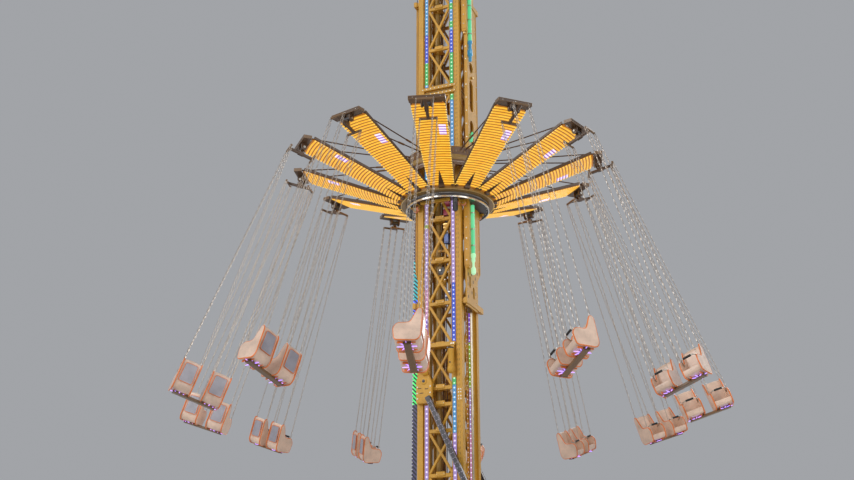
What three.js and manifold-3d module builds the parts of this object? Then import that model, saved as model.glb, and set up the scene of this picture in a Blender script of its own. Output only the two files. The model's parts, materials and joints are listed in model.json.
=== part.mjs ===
// Chair swing ride: a lattice tower, a carriage that climbs it, a turning star of
// twelve arms and a double seat hung from each arm on chains, stored in flight.
// Millimetres, +Z up, the origin on the ground on the tower's axis, the front towards -Y.

import * as THREE from 'three';
import { mergeVertices } from 'three/addons/utils/BufferGeometryUtils.js';
import Module from 'manifold-3d';

const wasm = await Module();
wasm.setup();

// Driving dimensions of the tower
const TOWER_SIDE = 1220;
const POST = 150;
const BASE_TOP = 300;
const SECTION_BAYS = [
  [600, 1090, 1090, 1090, 1090, 1090, 660],
  [1100, 1110, 1160, 1170, 1225, 1225, 1230],
  [1180, 1340, 1410, 1410, 1410, 1410, 1410],
];
const SECTION_JOINTS = [420, 280];
const LACE = 65;
const RUNG_DEPTH = 100;
const LACE_DEPTH = 40;
const EDGE_STRIP = 160;
const SEAT_GAP = 0.3;
const RUNNING_GAP = 0.5;

// Driving dimensions of the carriage and the star
const RING_HEIGHT = 12600;
const RING_OUTER = 1270;
const RING_INNER = 1050;
const RING_SIDES = 36;
const BEARING_INNER = 1035;
const SLED_TOP = 6360;
const SLED_FOOT = -3090;
const ARM_COUNT = 12;
const FIRST_ARM = 15;
const ARM_REACH = 3980;
const ARM_RISE = 1040;
const PIVOT_REACH = 4100;
const PIVOT_RISE = 940;
const COLLAR_OUTER = 1130;
const COLLAR_LOW = 700;
const COLLAR_TOP = 1240;

// Driving dimensions of the hangers and the double seats
const SWING_ANGLE = 19;
const HANG_LENGTH = 6865;
const SPREADER_DROP = 160;
const SPREADER_HALF = 330;
const RUNG_HALF = 230;
const SEAT_PITCH = 740;
const SEAT_WIDTH = 470;
const SEAT_WALL = 30;
const CHAIN = 16;

const half = TOWER_SIDE / 2;
const degrees = THREE.MathUtils.degToRad;

// The spans between the tower's horizontals: bays crossed by diagonals in three sections. The
// last bay of the lowest section is a low one with a vee, then comes an open joint; the upper
// joint is a closed band
const spans = SECTION_BAYS.flatMap((bays, section) => {
  const crossed = bays.map((height) => ({ height, lacing: 'cross' }));
  const joint = SECTION_JOINTS.slice(section, section + 1)
    .map((height) => ({ height, lacing: section === 0 ? 'window' : 'closed' }));
  return [...crossed, ...joint];
});
spans[SECTION_BAYS[0].length - 1].lacing = 'vee';
const towerTop = spans.reduce((level, span) => level + span.height, BASE_TOP);

// The light line's place beside the left face and its top, under the head frame's bracket
const LINE_X = -868;
const LINE_Y = -100;
const LINE_TOP = 25560;

const finishes = {
  tower: ['#c8952c', 0.5, 0.3],
  base: ['#3c3f44', 0.6, 0.4],
  ring: ['#a9741f', 0.45, 0.4],
  arm: ['#5a3a1c', 0.5, 0.4],
  steel: ['#b9b7b0', 0.35, 0.8],
  seat: ['#d9c7a4', 0.6, 0.0],
  dark: ['#26262a', 0.6, 0.3],
  light: ['#e9f4ff', 0.3, 0.0],
};
const materials = Object.fromEntries(
  Object.entries(finishes).map(([name, [color, roughness, metalness]]) => [
    name,
    new THREE.MeshStandardMaterial({ color, roughness, metalness, flatShading: true }),
  ]),
);

const ride = new THREE.Group();

function piece(name, material, geometry, parent = ride) {
  const mesh = new THREE.Mesh(geometry, materials[material]);
  mesh.name = name;
  parent.add(mesh);
  return mesh;
}

// Solids from geometries, and geometries from solids

function solid(geometry) {
  const bare = geometry.clone();
  bare.deleteAttribute('normal');
  bare.deleteAttribute('uv');
  const merged = mergeVertices(bare, 1e-3);
  const vertProperties = new Float32Array(merged.attributes.position.array);
  const triVerts = new Uint32Array(merged.index.array);
  return new wasm.Manifold(new wasm.Mesh({ numProp: 3, vertProperties, triVerts }));
}

function surface(body) {
  const mesh = body.getMesh();
  const geometry = new THREE.BufferGeometry();
  geometry.setAttribute('position', new THREE.BufferAttribute(mesh.vertProperties, 3));
  geometry.setIndex(new THREE.BufferAttribute(mesh.triVerts, 1));
  return geometry;
}

function fuse(...geometries) {
  return surface(geometries.map(solid).reduce((whole, part) => whole.add(part)));
}

function carve(geometry, ...cuts) {
  return surface(cuts.map(solid).reduce((whole, cut) => whole.subtract(cut), solid(geometry)));
}

// Plain shapes, given by where they lie

function block([x0, x1], [y0, y1], [z0, z1]) {
  const box = new THREE.BoxGeometry(x1 - x0, y1 - y0, z1 - z0);
  return box.translate((x0 + x1) / 2, (y0 + y1) / 2, (z0 + z1) / 2);
}

function outline(points) {
  return new THREE.Shape(points.map(([x, y]) => new THREE.Vector2(x, y)));
}

// A flat shape drawn in X and Y, from z0 up to z1
function plate(shape, z0, z1, curveSegments = 3) {
  const options = { depth: z1 - z0, bevelEnabled: false, curveSegments };
  return new THREE.ExtrudeGeometry(shape, options).translate(0, 0, z0);
}

// A shape drawn in X and Z, from y0 back to y1
function upright(shape, y0, y1) {
  return plate(shape, -y1, -y0).rotateX(Math.PI / 2);
}

// A shape drawn in Y and Z, from x0 to x1
function sideways(shape, x0, x1) {
  return plate(shape, x0, x1).rotateY(Math.PI / 2).rotateX(Math.PI / 2);
}

// A ring turned about the Z axis from a profile of radius and height
function turned(profile, sides) {
  const points = [...profile, profile[0]].map(([r, z]) => new THREE.Vector2(r, z));
  return new THREE.LatheGeometry(points, sides).rotateX(Math.PI / 2);
}

// A straight bar between two points, square or round by its number of sides
function bar(from, to, width, sides = 4) {
  const start = new THREE.Vector3(...from);
  const run = new THREE.Vector3(...to).sub(start);
  const along = run.clone().normalize();
  const across = new THREE.Vector3(0, 0, 1);
  if (Math.abs(along.z) > 0.9) across.set(1, 0, 0);
  const side = along.clone().cross(across).normalize();
  const radius = sides === 4 ? width * Math.SQRT1_2 : width / 2;
  const shape = new THREE.CylinderGeometry(
    radius, radius, run.length(), sides, 1, false, Math.PI / sides);
  shape.applyMatrix4(new THREE.Matrix4().makeBasis(side, along, side.clone().cross(along)));
  const middle = start.addScaledVector(run, 0.5);
  return shape.translate(middle.x, middle.y, middle.z);
}

// The tower: four corner posts with a laced face between each two of them

function cornerPosts() {
  const inner = half - POST;
  [[-1, -1, 'front_left'], [1, -1, 'front_right'], [1, 1, 'back_right'], [-1, 1, 'back_left']]
    .forEach(([sx, sy, corner]) => {
      const spanX = [sx * inner, sx * half].sort((a, b) => a - b);
      const spanY = [sy * inner, sy * half].sort((a, b) => a - b);
      piece(`tower_post_${corner}`, 'tower', block(spanX, spanY, [BASE_TOP + SEAT_GAP, towerTop]));
    });
}

// The openings of one laced bay: four triangles between its crossed diagonals
function bayHoles(middle, halfWidth, halfHeight) {
  const length = Math.hypot(halfWidth, halfHeight);
  const alongX = (LACE / 2) * length / halfHeight;
  const alongZ = (LACE / 2) * length / halfWidth;
  const corners = [
    [[-halfWidth + alongX, -halfHeight], [halfWidth - alongX, -halfHeight], [0, -alongZ]],
    [[halfWidth, -halfHeight + alongZ], [halfWidth, halfHeight - alongZ], [alongX, 0]],
    [[halfWidth - alongX, halfHeight], [-halfWidth + alongX, halfHeight], [0, alongZ]],
    [[-halfWidth, halfHeight - alongZ], [-halfWidth, -halfHeight + alongZ], [-alongX, 0]],
  ];
  return corners.map((three) => outline(three.map(([x, z]) => [x, z + middle])));
}

// The openings of a low bay with two diagonals that meet at the middle of its foot
function veeHoles(middle, halfWidth, halfHeight) {
  const height = 2 * halfHeight;
  const length = Math.hypot(halfWidth, height);
  const alongX = (LACE / 2) * length / height;
  const alongZ = (LACE / 2) * length / halfWidth;
  const side = [[alongX, -halfHeight], [halfWidth, -halfHeight], [halfWidth, halfHeight - alongZ]];
  const holes = [
    [[-halfWidth + alongX, halfHeight], [halfWidth - alongX, halfHeight], [0, -halfHeight + alongZ]],
    side,
    side.map(([x, z]) => [-x, z]),
  ];
  return holes.map((three) => outline(three.map(([x, z]) => [x, z + middle])));
}

function windowHoles(middle, w, h) {
  return [outline([[-w, middle - h], [w, middle - h], [w, middle + h], [-w, middle + h]])];
}

function lacedFace() {
  const width = half - POST - SEAT_GAP;
  const open = width - EDGE_STRIP;
  const holes = { cross: bayHoles, vee: veeHoles, window: windowHoles, closed: () => [] };
  let level = BASE_TOP;
  const openings = spans.flatMap(({ height, lacing }) => {
    level += height;
    return holes[lacing](level - height / 2, open, (height - RUNG_DEPTH) / 2);
  });
  const face = block([-width, width], [-LACE_DEPTH / 2, LACE_DEPTH / 2], [BASE_TOP + SEAT_GAP, towerTop]);
  return carve(face, ...openings.map((hole) => upright(hole, -LACE_DEPTH, LACE_DEPTH)));
}

function lacedFaces() {
  const face = lacedFace().translate(0, POST / 2 - half, 0);
  [['front', 0], ['right', 90], ['back', 180], ['left', 270]].forEach(([side, turn]) => {
    piece(`tower_lacing_${side}`, 'tower', face.clone()).rotation.z = degrees(turn);
  });
}

// A guide rail runs up the middle of each side face for the carriage's slides
const RAIL_HALF = 60;
const RAIL_DEPTH = 30;
const RAIL_SPAN = [900, 25300];

function guideRails() {
  const face = half - POST / 2 + LACE_DEPTH / 2;
  [['right', 0], ['left', 180]].forEach(([side, turn]) => {
    const rail = block([face + SEAT_GAP, half + RAIL_DEPTH], [-RAIL_HALF, RAIL_HALF], RAIL_SPAN);
    piece(`guide_rail_${side}`, 'steel', rail).rotation.z = degrees(turn);
  });
}

// The head frame closes the tower, with two rope sheaves on an axle over it
const HEAD_RIM = 160;
const HEAD_DEPTH = 140;
const AXLE_RISE = 230;
const AXLE_HALF = 330;
const AXLE = 80;
const CHEEK = 60;
const CHEEK_HALF = 260;
const SHEAVE = 210;
const SHEAVE_WIDTH = 60;
const SHEAVE_X = 150;

function towerHead() {
  const z0 = towerTop + SEAT_GAP;
  const well = half - HEAD_RIM;
  const rim = outline([[-half, -half], [half, -half], [half, half], [-half, half]]);
  rim.holes.push(outline([[-well, -well], [well, -well], [well, well], [-well, well]]));
  const beams = [-CHEEK_HALF, CHEEK_HALF - 120].map((y) => (
    block([-well - 20, well + 20], [y, y + 120], [z0, z0 + HEAD_DEPTH])));
  const axleZ = z0 + AXLE_RISE;
  const sheaves = [-SHEAVE_X, SHEAVE_X].map((x) => (
    new THREE.CylinderGeometry(SHEAVE, SHEAVE, SHEAVE_WIDTH, 16).rotateZ(Math.PI / 2)
      .translate(x, 0, axleZ)));
  const axle = bar([-AXLE_HALF, 0, axleZ], [AXLE_HALF, 0, axleZ], AXLE, 8);
  const cheeks = [-AXLE_HALF, AXLE_HALF - CHEEK].map((x) => (
    block([x, x + CHEEK], [-CHEEK_HALF, CHEEK_HALF], [z0, axleZ + AXLE / 2 + 30])));
  const frame = plate(rim, z0, z0 + HEAD_DEPTH);
  const lineArm = block([LINE_X - 30, -half + 20], [LINE_Y - 30, LINE_Y + 30],
    [LINE_TOP + SEAT_GAP, z0 + HEAD_DEPTH - 20]);
  piece('tower_head', 'tower', fuse(frame, ...beams, ...cheeks, axle, ...sheaves, lineArm));
}

// The base: a foot plate, two long beams, two cross beams and a jack at each end of them
const FOOT_HALF = 900;
const BASE_BEAM_Y = 780;
const BASE_BEAM = 200;
const BASE_FRONT = -3300;
const BASE_REAR = 4300;
const CROSS_BEAM = 240;
const OUTRIGGER = 3300;
const JACK_INSET = 180;
const JACK_TOP = 520;
const PAD_HALF = 300;
const PAD_TOP = 50;

function baseFrame() {
  const foot = block([-FOOT_HALF, FOOT_HALF], [-FOOT_HALF, FOOT_HALF], [0, BASE_TOP]);
  const beams = [-BASE_BEAM_Y, BASE_BEAM_Y].map((y) => (
    block([BASE_FRONT, BASE_REAR], [y - BASE_BEAM / 2, y + BASE_BEAM / 2], [120, 340])));
  const crossPlaces = [BASE_FRONT + 280, BASE_REAR - 440];
  const crosses = crossPlaces.map((x) => (
    block([x - CROSS_BEAM / 2, x + CROSS_BEAM / 2], [-OUTRIGGER, OUTRIGGER], [120, 320])));
  const jacks = crossPlaces.flatMap((x) => [-1, 1].flatMap((side) => {
    const y = side * (OUTRIGGER - JACK_INSET);
    return [
      bar([x, y, PAD_TOP - 20], [x, y, JACK_TOP], 110, 8),
      block([x - PAD_HALF, x + PAD_HALF], [y - PAD_HALF, y + PAD_HALF], [0, PAD_TOP]),
    ];
  }));
  piece('base_frame', 'base', fuse(foot, ...beams, ...crosses, ...jacks));
}

// Two long struts brace the tower against the base's right end
const STRUT_TOP = 7180;
const STRUT_X = -255;
const STRUT_SLOPE = 0.455;
const STRUT = 120;
const BEAM_TOP = 340;
const SHOE_TOP = 400;

function struts() {
  [['front', -1], ['back', 1]].forEach(([side, way]) => {
    const y = way * BASE_BEAM_Y;
    const footX = STRUT_X + (STRUT_TOP - BEAM_TOP) * STRUT_SLOPE;
    const strut = bar([STRUT_X, y, STRUT_TOP], [footX, y, BEAM_TOP - STRUT / 2], STRUT);
    const shoe = block([footX - 260, footX + 200], [y - 90, y + 90], [BEAM_TOP + SEAT_GAP, SHOE_TOP]);
    const under = block([footX - 900, footX + 900], [y - 200, y + 200], [0, BEAM_TOP + SEAT_GAP]);
    piece(`strut_${side}`, 'dark', carve(fuse(strut, shoe), under));
  });
}

// A plate on the front and back faces holds the strut's head; over it two buffers, which stop
// the carriage at its lowest place, hang from a flat bar with their bulbs downwards
const BUFFER_X = 355;
const BUFFER_Y = 735;
const BUFFER = 150;
const BUFFER_TOP = 8400;
const BUFFER_FOOT = 7730;
const BULB = 95;
const FLAT_BAR = [8475, 8585];
const FLAT_BAR_THICK = 30;
const HANGER_HALF = 50;
const STRUT_PLATE_X = [-600, -180];
const STRUT_PLATE_Z = [7040, 7780];

function stopPlates() {
  [['front', -1], ['back', 1]].forEach(([side, way]) => {
    const near = half + SEAT_GAP;
    const depth = (far) => [way * near, way * far].sort((a, b) => a - b);
    const flat = block([-BUFFER_X - 75, BUFFER_X + 75], depth(near + FLAT_BAR_THICK), FLAT_BAR);
    const plateFar = BASE_BEAM_Y - STRUT / 2 - SEAT_GAP;
    const strutPlate = block(STRUT_PLATE_X, depth(plateFar), STRUT_PLATE_Z);
    const stops = [-BUFFER_X, BUFFER_X].flatMap((x) => [
      block([x - HANGER_HALF, x + HANGER_HALF], depth(near + FLAT_BAR_THICK), [8200, FLAT_BAR[0] + 20]),
      block([x - HANGER_HALF, x + HANGER_HALF], depth(BUFFER_Y), [8200, BUFFER_TOP - 40]),
      bar([x, way * BUFFER_Y, BUFFER_FOOT + BULB], [x, way * BUFFER_Y, BUFFER_TOP], BUFFER, 10),
      new THREE.SphereGeometry(BULB, 10, 6).rotateX(Math.PI / 2)
        .translate(x, way * BUFFER_Y, BUFFER_FOOT + BULB),
    ]);
    piece(`stop_plate_${side}`, 'steel', fuse(flat, strutPlate, ...stops));
  });
}

// A thin taut line beside the left face, a flat strip where it carries lights
const STRIP_HALF = 65;
const STRIP_DEPTH = 30;
const LINE_BARE = 20;
const BRACKET_HALF = 30;
const BRACKET_DEPTH = 60;
const BRACKET_FOOT = 20;
const LINE_FOOT = [-915, LINE_Y, 4900];
const LINE_KNEE = [LINE_X, LINE_Y, 12400];
const LINE_HEAD = [LINE_X, LINE_Y, LINE_TOP];
const LINE_SLOT = 140;

function lightLine() {
  const wall = -half - SEAT_GAP;
  const [footX, , footZ] = LINE_FOOT;
  const kneeZ = LINE_KNEE[2];
  const bottom = footZ - BRACKET_DEPTH - SEAT_GAP;
  const outer = block([footX - STRIP_HALF, wall], [LINE_Y - BRACKET_HALF, LINE_Y + BRACKET_HALF],
    [bottom, bottom + BRACKET_DEPTH]);
  const inner = block([wall - BRACKET_FOOT, wall], [-half, LINE_Y + BRACKET_HALF],
    [bottom, bottom + BRACKET_DEPTH]);
  piece('line_bracket', 'tower', fuse(outer, inner));
  const strip = outline([
    [footX - STRIP_HALF, footZ], [footX + STRIP_HALF, footZ],
    [LINE_X + STRIP_HALF, kneeZ], [LINE_X - STRIP_HALF, kneeZ],
  ]);
  const lit = upright(strip, LINE_Y - STRIP_DEPTH / 2, LINE_Y + STRIP_DEPTH / 2);
  const bare = bar([LINE_X, LINE_Y, kneeZ - 20], LINE_HEAD, LINE_BARE, 8);
  piece('light_line', 'light', fuse(lit, bare));
}

// The carriage: a plate round the tower with a slide up each side face

const carriage = new THREE.Group();
carriage.position.z = RING_HEIGHT;
ride.add(carriage);

const BEARING_TOP = -70;
const PLATE_TOP = -130;
const PLATE_BOTTOM = -190;
const PLATE_OUTER = 1130;
const WELL_HALF = 650;
const SLIDE_NEAR = 655;
const SLIDE_FAR = 800;
const SLIDE_FRONT = -510;
const SLIDE_BACK = -400;

function carriagePlate() {
  const rim = new THREE.Shape();
  rim.absarc(0, 0, PLATE_OUTER, 0, Math.PI * 2);
  const w = WELL_HALF;
  const far = SLIDE_FAR + SEAT_GAP;
  const front = SLIDE_FRONT - SEAT_GAP;
  const back = SLIDE_BACK + SEAT_GAP;
  const lineFar = LINE_X - LINE_SLOT;
  const well = [
    [-w, -w], [w, -w], [w, front], [far, front], [far, back], [w, back], [w, w],
    [-w, w], [-w, -front], [-far, -front], [-far, -back], [-w, -back],
    [-w, LINE_Y + LINE_SLOT / 2], [lineFar, LINE_Y + LINE_SLOT / 2],
    [lineFar, LINE_Y - LINE_SLOT / 2], [-w, LINE_Y - LINE_SLOT / 2],
  ];
  rim.holes.push(outline(well));
  const deck = plate(rim, PLATE_BOTTOM, PLATE_TOP - SEAT_GAP, RING_SIDES / 2);
  piece('carriage_plate', 'ring', deck, carriage);
}

function ovalHole(y, z0, z1, width) {
  const r = width / 2;
  const oval = new THREE.Path();
  oval.absarc(y, z1 - r, r, 0, Math.PI);
  oval.absarc(y, z0 + r, r, Math.PI, Math.PI * 2);
  return oval;
}

// One slide: a web with oval holes that steps in to a foot plate, a box column on its front
// edge below and above the star with a flange between them, and two arms with rollers
const ROLLER = 70;
const ROLLER_LENGTH = 70;
const ROLLER_ARM = 150;
const WEB_INNER = SLIDE_NEAR + 50;
const WEB_THICK = 40;
const WEB_FRONT = SLIDE_BACK - 30;
const WEB_BACK = 420;
const WEB_STEP = -2040;
const STEP_FALL = 230;
const LOW_COLUMN = [-2000, 760];
const HIGH_COLUMN = [5040, SLED_TOP];
const FLANGE_REACH = 95;
const FOOT_FRONT = -560;
const FOOT_BACK = 200;
const FOOT_TOP = -2080;
const WEB_OVALS = [[-20, 3870, 4180], [-20, 2650, 3610], [-20, 1640, 2370], [-20, 640, 1280]];
const OVAL_WIDTH = 270;
const FOOT_OVALS = [[-330, -2560, -2240], [-70, -2800, -2480]];
const FOOT_OVAL_WIDTH = 120;

function slide() {
  const rollerX = half + RUNNING_GAP + ROLLER * Math.cos(Math.PI / 8);
  const web = outline([
    [FOOT_FRONT, SLED_FOOT], [FOOT_BACK, SLED_FOOT], [FOOT_BACK, WEB_STEP - STEP_FALL],
    [WEB_BACK, WEB_STEP], [WEB_BACK, SLED_TOP - 260], [WEB_BACK - 300, SLED_TOP],
    [WEB_FRONT, SLED_TOP], [WEB_FRONT, FOOT_TOP], [FOOT_FRONT, FOOT_TOP],
  ]);
  web.holes.push(
    ...WEB_OVALS.map(([y, low, high]) => ovalHole(y, low, high, OVAL_WIDTH)),
    ...FOOT_OVALS.map(([y, low, high]) => ovalHole(y, low, high, FOOT_OVAL_WIDTH)),
  );
  const columns = [LOW_COLUMN, HIGH_COLUMN].map((span) => (
    block([SLIDE_NEAR, SLIDE_FAR], [SLIDE_FRONT, SLIDE_BACK], span)));
  const flange = block([WEB_INNER, WEB_INNER + FLANGE_REACH - 1], [WEB_FRONT - 20, WEB_FRONT + 1],
    [LOW_COLUMN[1] - 1, HIGH_COLUMN[0] + 1]);
  const arms = [SLED_TOP - 320, SLED_FOOT + 60].flatMap((z) => [
    block([SLIDE_NEAR + 20, SLIDE_FAR - 40], [-half + 10, half - 10], [z, z + ROLLER_ARM]),
    ...[-1, 1].map((way) => (
      new THREE.CylinderGeometry(ROLLER, ROLLER, ROLLER_LENGTH, 8, 1, false, Math.PI / 8)
        .translate(rollerX, way * (half - POST / 2), z + ROLLER_ARM / 2)
    )),
  ]);
  return fuse(sideways(web, WEB_INNER, WEB_INNER + WEB_THICK), ...columns, flange, ...arms);
}

function slides() {
  const notch = block([WELL_HALF, PLATE_OUTER], [-900, 900],
    [PLATE_BOTTOM - SEAT_GAP, PLATE_TOP + SEAT_GAP]);
  const column = block([SLIDE_NEAR - 1, SLIDE_FAR + 1], [SLIDE_FRONT - 1, SLIDE_BACK],
    [PLATE_BOTTOM - 1, PLATE_TOP + 1]);
  const shape = carve(slide(), carve(notch, column));
  [['right', 0], ['left', 180]].forEach(([side, turn]) => {
    piece(`slide_${side}`, 'tower', shape.clone(), carriage).rotation.z = degrees(turn);
  });
}

function bearing() {
  const outer = PLATE_OUTER - 10;
  const profile = [
    [BEARING_INNER, PLATE_TOP], [outer, PLATE_TOP], [outer, BEARING_TOP - RUNNING_GAP],
    [BEARING_INNER, BEARING_TOP - RUNNING_GAP],
  ];
  piece('slewing_bearing', 'steel', turned(profile, RING_SIDES), carriage);
}

// The star: a turning ring with twelve arms

const star = new THREE.Group();
carriage.add(star);

const RING_LIP = 90;
const RING_SHELF = -20;

function starRing() {
  const profile = [
    [RING_INNER, BEARING_TOP], [RING_OUTER, BEARING_TOP], [RING_OUTER, RING_LIP],
    [RING_OUTER - 130, RING_LIP], [RING_OUTER - 130, RING_SHELF], [RING_INNER, RING_SHELF],
  ];
  piece('star_ring', 'ring', turned(profile, RING_SIDES), star);
}

// Round the tower over the ring stands a drum on posts, which the arms' stays run up to
const COLLAR_POST = 60;
const collarInner = COLLAR_OUTER - 80;

function starCollar() {
  const drum = turned([
    [collarInner, COLLAR_LOW], [COLLAR_OUTER, COLLAR_LOW],
    [COLLAR_OUTER, COLLAR_TOP], [collarInner, COLLAR_TOP],
  ], RING_SIDES);
  const middle = (collarInner + COLLAR_OUTER) / 2;
  const posts = Array.from({ length: ARM_COUNT }, (_, n) => (
    block([middle - COLLAR_POST / 2, middle + COLLAR_POST / 2], [-COLLAR_POST / 2, COLLAR_POST / 2],
      [RING_SHELF + SEAT_GAP, COLLAR_LOW + 50]).rotateZ(n * Math.PI * 2 / ARM_COUNT)));
  piece('star_collar', 'ring', fuse(drum, ...posts), star);
}

const armRoot = RING_OUTER * Math.cos(Math.PI / RING_SIDES) + SEAT_GAP;
const ROOT_HALF = 334;
const TIP_HALF = 435;
const PANEL_THICK = 45;
const EDGE_BEAM = 80;
const SPINE = 110;
const WEDGE_SHARE = 0.19;
const WEDGE_HALF = 80;
const CROSSHEAD = [[ARM_REACH + 10, ARM_REACH + 230], [-450, 450], [ARM_RISE + 10, ARM_RISE + 100]];
const LUG_GAP = 100;
const LUG = 40;
const LUG_HALF = 80;
const STAY = 36;
const STAY_Y = 300;

// An arm along +X: a lamp panel below, its two edge beams, a spine, the crosshead and two stays
function arm() {
  const run = ARM_REACH - armRoot;
  const length = Math.hypot(run, ARM_RISE);
  const lift = Math.atan2(ARM_RISE, run);
  const panel = plate(outline([
    [0, -WEDGE_HALF], [25, -ROOT_HALF], [length - 60, -TIP_HALF], [length, -TIP_HALF + 80],
    [length, TIP_HALF - 80], [length - 60, TIP_HALF], [25, ROOT_HALF], [0, WEDGE_HALF],
    [length * WEDGE_SHARE, 0],
  ]), 0, PANEL_THICK);
  const edges = [-1, 1].map((way) => {
    const near = [40, way * (ROOT_HALF - 40), EDGE_BEAM];
    const far = [length - 30, way * (TIP_HALF - 40), EDGE_BEAM];
    return bar(near, far, EDGE_BEAM);
  });
  const spine = bar([60, 0, 90], [length + 60, 0, 90], SPINE);
  const slope = fuse(panel, ...edges, spine);
  slope.rotateY(-lift).translate(armRoot, 0, 0);
  const root = block([armRoot, armRoot + 90], [-WEDGE_HALF, WEDGE_HALF], [-40, 150]);
  const lugs = [-1, 1].map((way) => {
    const spanX = [PIVOT_REACH - LUG_HALF, PIVOT_REACH + LUG_HALF];
    const spanY = [way * LUG_GAP, way * (LUG_GAP + LUG)].sort((a, b) => a - b);
    return block(spanX, spanY, [PIVOT_RISE - LUG_HALF, ARM_RISE + 20]);
  });
  const stayFoot = COLLAR_OUTER + SEAT_GAP;
  const stays = [-1, 1].map((way) => (
    bar([stayFoot - 60, way * 60, COLLAR_TOP - 50],
      [ARM_REACH + 130, way * STAY_Y, ARM_RISE + 85], STAY)));
  const front = block([armRoot - 200, armRoot], [-400, 400], [-400, 400]);
  const collar = block([0, stayFoot], [-400, 400], [COLLAR_LOW, COLLAR_TOP + 400]);
  return carve(fuse(slope, root, block(...CROSSHEAD), ...lugs, ...stays), front, collar);
}

// The hangers and the double seats, drawn as they hang straight down from the pivot

const CHAIN_FRONT = -170;
const CHAIN_BACK = 215;
const CHEEK_TOP = 60;
const BACK_TOP = 400;
const CHAIN_SINK = 20;
const YOKE = 120;
const RUNG = 60;

const chainPlaces = [-1, 1].flatMap((seat) => [-1, 1].map((edge) => ({
  top: seat * SPREADER_HALF + edge * RUNG / 3,
  foot: seat * SEAT_PITCH / 2 + edge * (SEAT_WIDTH / 2 - SEAT_WALL / 2),
})));

function hanger() {
  const yoke = bar([0, -LUG_GAP + RUNNING_GAP, 0], [0, LUG_GAP - RUNNING_GAP, 0], YOKE, 8);
  const stem = block([-45, 45], [-45, 45], [-SPREADER_DROP, 0]);
  const level = [-SPREADER_DROP - 35, -SPREADER_DROP + 35];
  const spreader = block([-SPREADER_HALF, SPREADER_HALF], [-40, 40], level);
  const rungs = [-SPREADER_HALF, SPREADER_HALF].map((x) => (
    block([x - RUNG / 2, x + RUNG / 2], [-RUNG_HALF, RUNG_HALF], level)));
  const chainEnds = [[-1, CHAIN_FRONT, CHEEK_TOP], [1, CHAIN_BACK, BACK_TOP]];
  const chains = chainPlaces.flatMap(({ top, foot }) => chainEnds.map(([way, y, rise]) => {
    const head = [top, way * (RUNG_HALF - 20), -SPREADER_DROP];
    return bar(head, [foot, y, rise - CHAIN_SINK - HANG_LENGTH], CHAIN, 3);
  }));
  const low = -HANG_LENGTH - 200;
  const frontEnd = block([-900, 900], [-400, 0], [low, SEAT_GAP + CHEEK_TOP - HANG_LENGTH]);
  const backEnd = block([-900, 900], [0, 400], [low, SEAT_GAP + BACK_TOP - HANG_LENGTH]);
  return carve(fuse(yoke, stem, spreader, ...rungs, ...chains), frontEnd, backEnd);
}

// A bucket seat cut from its side outline: the cheeks, the back and the pan stay
function seatShell() {
  const side = outline([
    [-250, -330], [200, -360], [270, -260], [285, 340], [250, BACK_TOP], [190, BACK_TOP],
    [70, 100], [20, CHEEK_TOP], [-215, CHEEK_TOP], [-290, -60],
  ]);
  const hollow = outline([[-420, -215], [150, -230], [235, 300], [235, 600], [-420, 600]]);
  const wide = SEAT_WIDTH / 2;
  return carve(sideways(side, -wide, wide),
    sideways(hollow, -wide + SEAT_WALL, wide - SEAT_WALL));
}

function doubleSeat() {
  const shells = [-1, 1].map((way) => seatShell().translate(way * SEAT_PITCH / 2, 0, 0));
  const reach = SEAT_PITCH / 2 + 150;
  const under = block([-reach, reach], [-80, 80], [-400, -335]);
  return fuse(...shells, under).translate(0, 0, -HANG_LENGTH);
}

function arms() {
  const armShape = arm();
  const hangerShape = hanger();
  const seatShape = doubleSeat();
  for (let n = 0; n < ARM_COUNT; n += 1) {
    const number = String(n + 1).padStart(2, '0');
    const spoke = new THREE.Group();
    spoke.rotation.z = degrees(FIRST_ARM - 90 + n * 360 / ARM_COUNT);
    star.add(spoke);
    piece(`arm_${number}`, 'arm', armShape.clone(), spoke);
    const swing = new THREE.Group();
    swing.position.set(PIVOT_REACH, 0, PIVOT_RISE);
    swing.rotation.y = -degrees(SWING_ANGLE);
    spoke.add(swing);
    piece(`hanger_${number}`, 'steel', hangerShape.clone(), swing);
    piece(`double_seat_${number}`, 'seat', seatShape.clone(), swing);
  }
}

baseFrame();
cornerPosts();
lacedFaces();
guideRails();
towerHead();
struts();
stopPlates();
lightLine();
carriagePlate();
slides();
bearing();
starRing();
starCollar();
arms();

export default ride;
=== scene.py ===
"""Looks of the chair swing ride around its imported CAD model. Metres, +Z up, front towards -Y."""

import json
import math

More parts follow.
